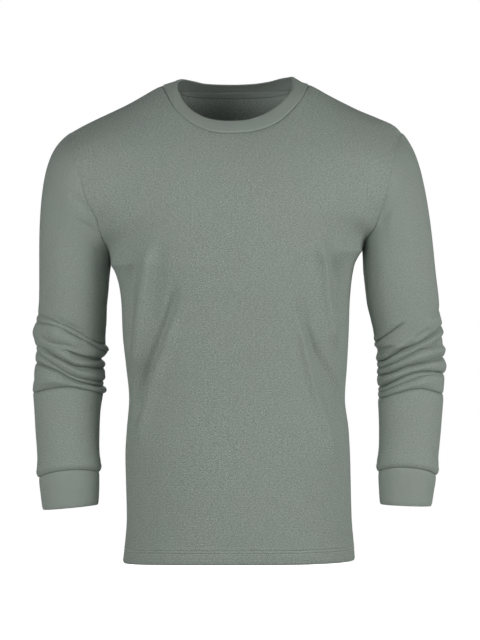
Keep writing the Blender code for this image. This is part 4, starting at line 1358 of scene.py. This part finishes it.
@functools.lru_cache(maxsize=2)
def plain_material(name, which, roughness, pitch):
    """Thread or tape: a twisted yarn's lights and darks over one colour."""
    scene = bpy.context.scene
    colour = getattr(scene.top_rib if which == "tape_colour" else scene.top_stitch, which)
    material, shader, n = new_material(name, colour, roughness)
    place = n.add("ShaderNodeTexCoord").outputs["Object"]
    yarn = yarn_node(n, place, colour, {"Dash": 0.2, "Dot": 0.1, "Cloud": 0.04, "Hue": 0.02})
    weave = n.add(
        "ShaderNodeTexWave",
        {"Vector": place, "Scale": pitch, "Distortion": 0.6},
        bands_direction="DIAGONAL",
    )
    finish(n, shader, yarn.outputs["Colour"], yarn, 0.5, weave.outputs["Fac"], 0.5, 0.0002)
    return material


def yarn_node(nodes, place, colour, swings):
    """The yarn's lights and darks over a colour."""
    links = {"Vector": place, "Colour": (*colour, 1), **swings}
    return nodes.add("ShaderNodeGroup", links, node_tree=yarn_group())


# ---------------------------------------------------------------- dressing pieces


def dress(obj, material, node):
    """Gives a piece its material and its place in the frame."""
    obj.data.materials.append(material)
    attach(obj, "root")
    if node:
        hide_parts(node)
    return obj


# ---------------------------------------------------------------- operators


class TOP_OT_panels(bpy.types.Operator):
    """Front and back panels with the hem turned up"""

    bl_idname = "thermal_top.panels"
    bl_label = "Front and Back Panels"

    def execute(self, context):
        cloth = context.scene.top_cloth
        for face, width, length, share in (("front", 0.515, 0.725, 0.9), ("back", 0.5, 0.735, 0.92)):
            piece = garment()[face + "_panel"]
            drop_to_hem = lengths_to_last(piece)
            thick = smoothstep(HEM_HEIGHT + 1, HEM_HEIGHT - 1, drop_to_hem)
            wall = (cloth.wall + (cloth.hem_wall - cloth.wall) * thick) / MM
            relief = piece.seam_relief() + hem_relief(drop_to_hem)[:, None]
            obj = shell(face + "_panel_cloth", piece, wall, relief)
            dress(obj, waffle_material("waffle_knit", 1.0), face + "_panel")
        return {"FINISHED"}


def lengths_to_last(piece):
    """How far each row is from the last one, along the middle column."""
    column = piece.points[:, piece.points.shape[1] // 2]
    return lengths_along(column[::-1])[::-1]


def hem_relief(above):
    """The channel that each row of hem stitches presses, and the ridge between them."""
    press = sum(np.exp(-(((above - row) / 0.9) ** 2)) for row in STITCH_ROWS)
    middle = sum(STITCH_ROWS) / len(STITCH_ROWS)
    puff = np.exp(-(((above - middle) / 1.2) ** 2)) + 1.2 * np.exp(-(((above - 21.6) / 1.4) ** 2))
    rounding = np.clip(1 - above / 3, 0, 1) ** 2
    return 0.45 * puff - 0.55 * press - HEM_ROUND_IN * rounding


class TOP_OT_sleeves(bpy.types.Operator):
    """Right and left sleeves with their creases at the elbows"""

    bl_idname = "thermal_top.sleeves"
    bl_label = "Sleeves"

    def execute(self, context):
        wall = context.scene.top_cloth.wall / MM
        for side in ("right", "left"):
            piece = garment()[side + "_sleeve"]
            relief = piece.seam_relief() - underarm_groove(piece)
            obj = shell(side + "_sleeve_cloth", piece, wall, relief)
            dress(obj, waffle_material("waffle_knit_stretched", 0.6), side + "_sleeve")
        return {"FINISHED"}


def underarm_groove(piece):
    """A narrow groove down the inside of a sleeve, where its cloth is sewn to a tube."""
    flat = piece.flat_pattern()[:, :-1, 0] / MM
    from_seam = np.minimum(flat - flat[:, :1], flat[:, -1:] - flat)
    return 0.8 * np.exp(-((from_seam / 2.0) ** 2))


class TOP_OT_cuffs(bpy.types.Operator):
    """Doubled rib cuffs"""

    bl_idname = "thermal_top.cuffs"
    bl_label = "Cuffs"

    def execute(self, context):
        wall = context.scene.top_rib.wall / MM
        for side in ("right", "left"):
            piece = garment()[side + "_cuff"]
            up = lengths_to_last(piece)
            relief = np.repeat(band_relief(up, up[0])[:, None], piece.points.shape[1], axis=1)
            obj = shell(side + "_cuff_rib", piece, wall, relief)
            dress(obj, rib_material(), side + "_cuff")
        return {"FINISHED"}


def band_relief(up, height):
    """A doubled band: full in the middle, drawn in a little at its fold and its seam."""
    return 0.35 - 0.7 * np.exp(-((up / 2.2) ** 2)) - 0.9 * np.exp(-(((height - up) / 2.5) ** 2))


class TOP_OT_neckband(bpy.types.Operator):
    """Doubled rib neckband, and the tape inside the back neck"""

    bl_idname = "thermal_top.neckband"
    bl_label = "Neckband and Tape"

    def execute(self, context):
        piece = garment()["neckband"]
        edge = piece.edge_distance("first")
        relief = piece.seam_relief() - 0.8 * np.exp(-((edge / 1.6) ** 2))
        relief += 0.35 * np.exp(-(((edge - 3.4) / 1.8) ** 2))
        obj = shell("neckband_rib", piece, context.scene.top_rib.wall / MM, relief)
        dress(obj, rib_material(), "neckband")
        tape = shell("neck_tape_strip", neck_tape(), TAPE["wall"], np.zeros((TAPE_ROWS + 1, 1)))
        dress(tape, plain_material("neck_tape", "tape_colour", 0.9, 260.0), "neck_tape")
        return {"FINISHED"}


def neck_tape():
    """A strip just below the neck seam, on the back panel's own inner wall."""
    back = garment()["back_panel"]
    wall = bpy.context.scene.top_cloth.wall / MM
    place = np.linspace(-1, 1, PANEL_COLUMNS + 1)
    lines = len(EDGE_LINES)
    keep = np.flatnonzero(np.abs(place) <= TAPE["reach"]) + lines
    near = slice(TAPE["search"])
    points = back.points[near, keep]
    normals = back.normals[near, keep]
    under = points - normals * (wall * back.mitre[near, keep] + TAPE["lift"])[..., None]
    along = lengths_along(under)
    grid = np.zeros((TAPE_ROWS + 1, len(keep), 3))
    for r, drop in enumerate(TAPE["start"] + TAPE["height"] * np.linspace(0, 1, TAPE_ROWS + 1)):
        for c in range(len(keep)):
            grid[r, c] = [np.interp(drop, along[:, c], under[:, c, k]) for k in range(3)]
    return Cloth(grid, closed=False)


class TOP_OT_stitching(bpy.types.Operator):
    """Rows of stitches along the hem"""

    bl_idname = "thermal_top.stitching"
    bl_label = "Stitching"

    def execute(self, context):
        for face in ("front", "back"):
            piece = garment()[face + "_panel"]
            above = lengths_to_last(piece)
            relief = hem_relief(above)
            lines = [row_line(piece, above, row, relief) for row in STITCH_ROWS]
            obj = stitch_rows(face + "_hem_stitches", lines)
            dress(obj, thread_material(), None)
        return {"FINISHED"}


def thread_material():
    """The sewing thread of the hem."""
    return plain_material("sewing_thread", "colour", 0.7, 900.0)


def row_line(piece, above, height, relief):
    """Points of the outer wall at one height above the hem."""
    at = int(np.argmin(np.abs(above - height)))
    return piece.points[at] + piece.normals[at] * (relief[at] + STITCH_LIFT)


def stitch_rows(name, lines):
    """Small thread lozenges along lines of points, made by Geometry Nodes."""
    points = np.concatenate(lines) * MM
    edges, start = [], 0
    for line in lines:
        edges += [(start + i, start + i + 1) for i in range(len(line) - 1)]
        start += len(line)
    mesh = bpy.data.meshes.new(name + "_path")
    mesh.from_pydata(points.tolist(), edges, [])
    path = bpy.data.objects.new(name + "_path", mesh)
    bpy.context.scene.collection.objects.link(path)
    modifier = path.modifiers.new("stitches", "NODES")
    modifier.node_group = stitch_tree()
    stitch = bpy.context.scene.top_stitch
    sizes = {"Spacing": stitch.spacing, "Length": stitch.length, "Thickness": stitch.thickness}
    for item in modifier.node_group.interface.items_tree:
        if item.name in sizes:
            modifier[item.identifier] = sizes[item.name]
        elif item.name == "Thread":
            modifier[item.identifier] = thread_material()
    bpy.context.view_layer.update()
    evaluated = path.evaluated_get(bpy.context.evaluated_depsgraph_get())
    mesh = bpy.data.meshes.new_from_object(evaluated)
    mesh.materials.clear()
    mesh.shade_smooth()
    bpy.data.objects.remove(path, do_unlink=True)
    obj = bpy.data.objects.new(name, mesh)
    bpy.context.scene.collection.objects.link(obj)
    return obj


@functools.lru_cache(maxsize=1)
def stitch_tree():
    """Geometry Nodes that lay one thread lozenge after another along a path."""
    tree = bpy.data.node_groups.new("stitch_row", "GeometryNodeTree")
    face = tree.interface
    face.new_socket("Geometry", in_out="INPUT", socket_type="NodeSocketGeometry")
    for label in ("Spacing", "Length", "Thickness"):
        face.new_socket(label, in_out="INPUT", socket_type="NodeSocketFloat")
    face.new_socket("Thread", in_out="INPUT", socket_type="NodeSocketMaterial")
    face.new_socket("Geometry", in_out="OUTPUT", socket_type="NodeSocketGeometry")
    n = Nodes(tree)
    inside, out = n.add("NodeGroupInput"), n.add("NodeGroupOutput")
    curve = n.add("GeometryNodeMeshToCurve", {"Mesh": inside.outputs["Geometry"]})
    even = n.add("GeometryNodeResampleCurve", {"Curve": curve.outputs["Curve"]}, mode="LENGTH")
    tree.links.new(inside.outputs["Spacing"], even.inputs["Length"])
    dots = n.add("GeometryNodeCurveToPoints", {"Curve": even.outputs["Curve"]}, mode="EVALUATED")
    thread = n.add("GeometryNodeMeshUVSphere", {"Segments": 8, "Rings": 5, "Radius": 0.5})
    size = n.add("ShaderNodeCombineXYZ", {0: inside.outputs["Thickness"], 1: inside.outputs["Thickness"]})
    tree.links.new(inside.outputs["Length"], size.inputs[2])
    shaped = n.add("GeometryNodeTransform", {"Geometry": thread.outputs["Mesh"], "Scale": size.outputs[0]})
    laid = n.add(
        "GeometryNodeInstanceOnPoints",
        {
            "Points": dots.outputs["Points"],
            "Instance": shaped.outputs["Geometry"],
            "Rotation": dots.outputs["Rotation"],
        },
    )
    solid = n.add("GeometryNodeRealizeInstances", {"Geometry": laid.outputs["Instances"]})
    painted = n.add(
        "GeometryNodeSetMaterial",
        {"Geometry": solid.outputs["Geometry"], "Material": inside.outputs["Thread"]},
    )
    tree.links.new(painted.outputs["Geometry"], out.inputs["Geometry"])
    return tree


class TOP_OT_stage(bpy.types.Operator):
    """Camera, soft lights and a plain pale floor"""

    bl_idname = "thermal_top.stage"
    bl_label = "Stage"

    def execute(self, context):
        stage = context.scene.top_stage
        add_camera(stage)
        add_world(stage)
        for name, bearing, height, reach, size, power in LIGHTS:
            turn = math.radians(bearing)
            place = (reach * math.sin(turn), -reach * math.cos(turn), height)
            add_light(name, place, LIGHT_TARGET, size, power * stage.key)
        add_floor(stage.floor_drop)
        return {"FINISHED"}


def add_camera(stage):
    """A level camera, square to the front of the garment."""
    data = bpy.data.cameras.new("camera")
    camera = bpy.data.objects.new("camera", data)
    bpy.context.scene.collection.objects.link(camera)
    data.sensor_width = 36
    data.lens = data.sensor_width * stage.distance / stage.picture_height
    data.clip_end = 100
    camera.location = (CAMERA_SIDE, -stage.distance, CAMERA_HEIGHT)
    camera.rotation_euler = (math.pi / 2, 0, 0)
    bpy.context.scene.camera = camera
    bpy.context.scene.view_settings.view_transform = "Standard"


def add_world(stage):
    """Dim light from all around, white where the camera looks straight at it."""
    world = bpy.data.worlds.new("studio")
    world.use_nodes = True
    bpy.context.scene.world = world
    n = Nodes(world.node_tree)
    background = world.node_tree.nodes["Background"]
    background.inputs["Color"].default_value = (1, 1, 1, 1)
    straight = n.add("ShaderNodeLightPath").outputs["Is Camera Ray"]
    strength = n.math("MULTIPLY_ADD", straight, 1.0 - stage.sky, stage.sky)
    world.node_tree.links.new(strength, background.inputs["Strength"])


def add_light(name, place, target, size, power):
    """A soft square light that faces the target."""
    data = bpy.data.lights.new(name, "AREA")
    data.size = size
    data.energy = power
    light = bpy.data.objects.new(name, data)
    light.location = place
    way = np.array(target) - np.array(place)
    flat = math.hypot(way[0], way[1])
    light.rotation_euler = (math.atan2(flat, -way[2]), 0, math.atan2(way[1], way[0]) - math.pi / 2)
    bpy.context.scene.collection.objects.link(light)
    return light


def add_floor(drop):
    """A plain pale floor, a disc wide enough for every side view."""
    points = [[0, 0, -drop]]
    for k in range(FLOOR_SIDES):
        turn = 2 * math.pi * k / FLOOR_SIDES
        points.append([FLOOR_RADIUS * math.cos(turn), FLOOR_RADIUS * math.sin(turn), -drop])
    faces = [(0, 1 + k, 1 + (k + 1) % FLOOR_SIDES) for k in range(FLOOR_SIDES)]
    floor = mesh_object("floor", np.array(points), faces)
    material = bpy.data.materials.new("pale_floor")
    material.use_nodes = True
    shader = material.node_tree.nodes["Principled BSDF"]
    shader.inputs["Base Color"].default_value = (0.9, 0.9, 0.9, 1)
    shader.inputs["Roughness"].default_value = 0.8
    shader.inputs["Emission Color"].default_value = (1, 1, 1, 1)
    shader.inputs["Emission Strength"].default_value = 1.0
    floor.data.materials.append(material)
    floor.visible_diffuse = False


# ---------------------------------------------------------------- panel and run

OPERATORS = (
    TOP_OT_panels,
    TOP_OT_sleeves,
    TOP_OT_cuffs,
    TOP_OT_neckband,
    TOP_OT_stitching,
    TOP_OT_stage,
)


class TOP_PT_sidebar(bpy.types.Panel):
    """Lists the steps that dress the top"""

    bl_label = "Thermal Top"
    bl_space_type = "VIEW_3D"
    bl_region_type = "UI"
    bl_category = "Thermal Top"

    def draw(self, context):
        for operator in OPERATORS:
            self.layout.operator(operator.bl_idname)
        for name, _ in SETTINGS:
            settings = getattr(context.scene, name)
            for prop in settings.bl_rna.properties:
                if not prop.is_readonly and prop.identifier != "name":
                    self.layout.prop(settings, prop.identifier)


def register():
    for name, group in SETTINGS:
        bpy.utils.register_class(group)
        setattr(bpy.types.Scene, name, bpy.props.PointerProperty(type=group))
    for cls in (*OPERATORS, TOP_PT_sidebar):
        bpy.utils.register_class(cls)


def unregister():
    for cls in reversed((*OPERATORS, TOP_PT_sidebar)):
        bpy.utils.unregister_class(cls)
    for name, group in reversed(SETTINGS):
        delattr(bpy.types.Scene, name)
        bpy.utils.unregister_class(group)


def main():
    """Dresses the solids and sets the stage."""
    register()
    for operator in OPERATORS:
        family, action = operator.bl_idname.split(".")
        getattr(getattr(bpy.ops, family), action)()


if __name__ == "__main__":
    main()
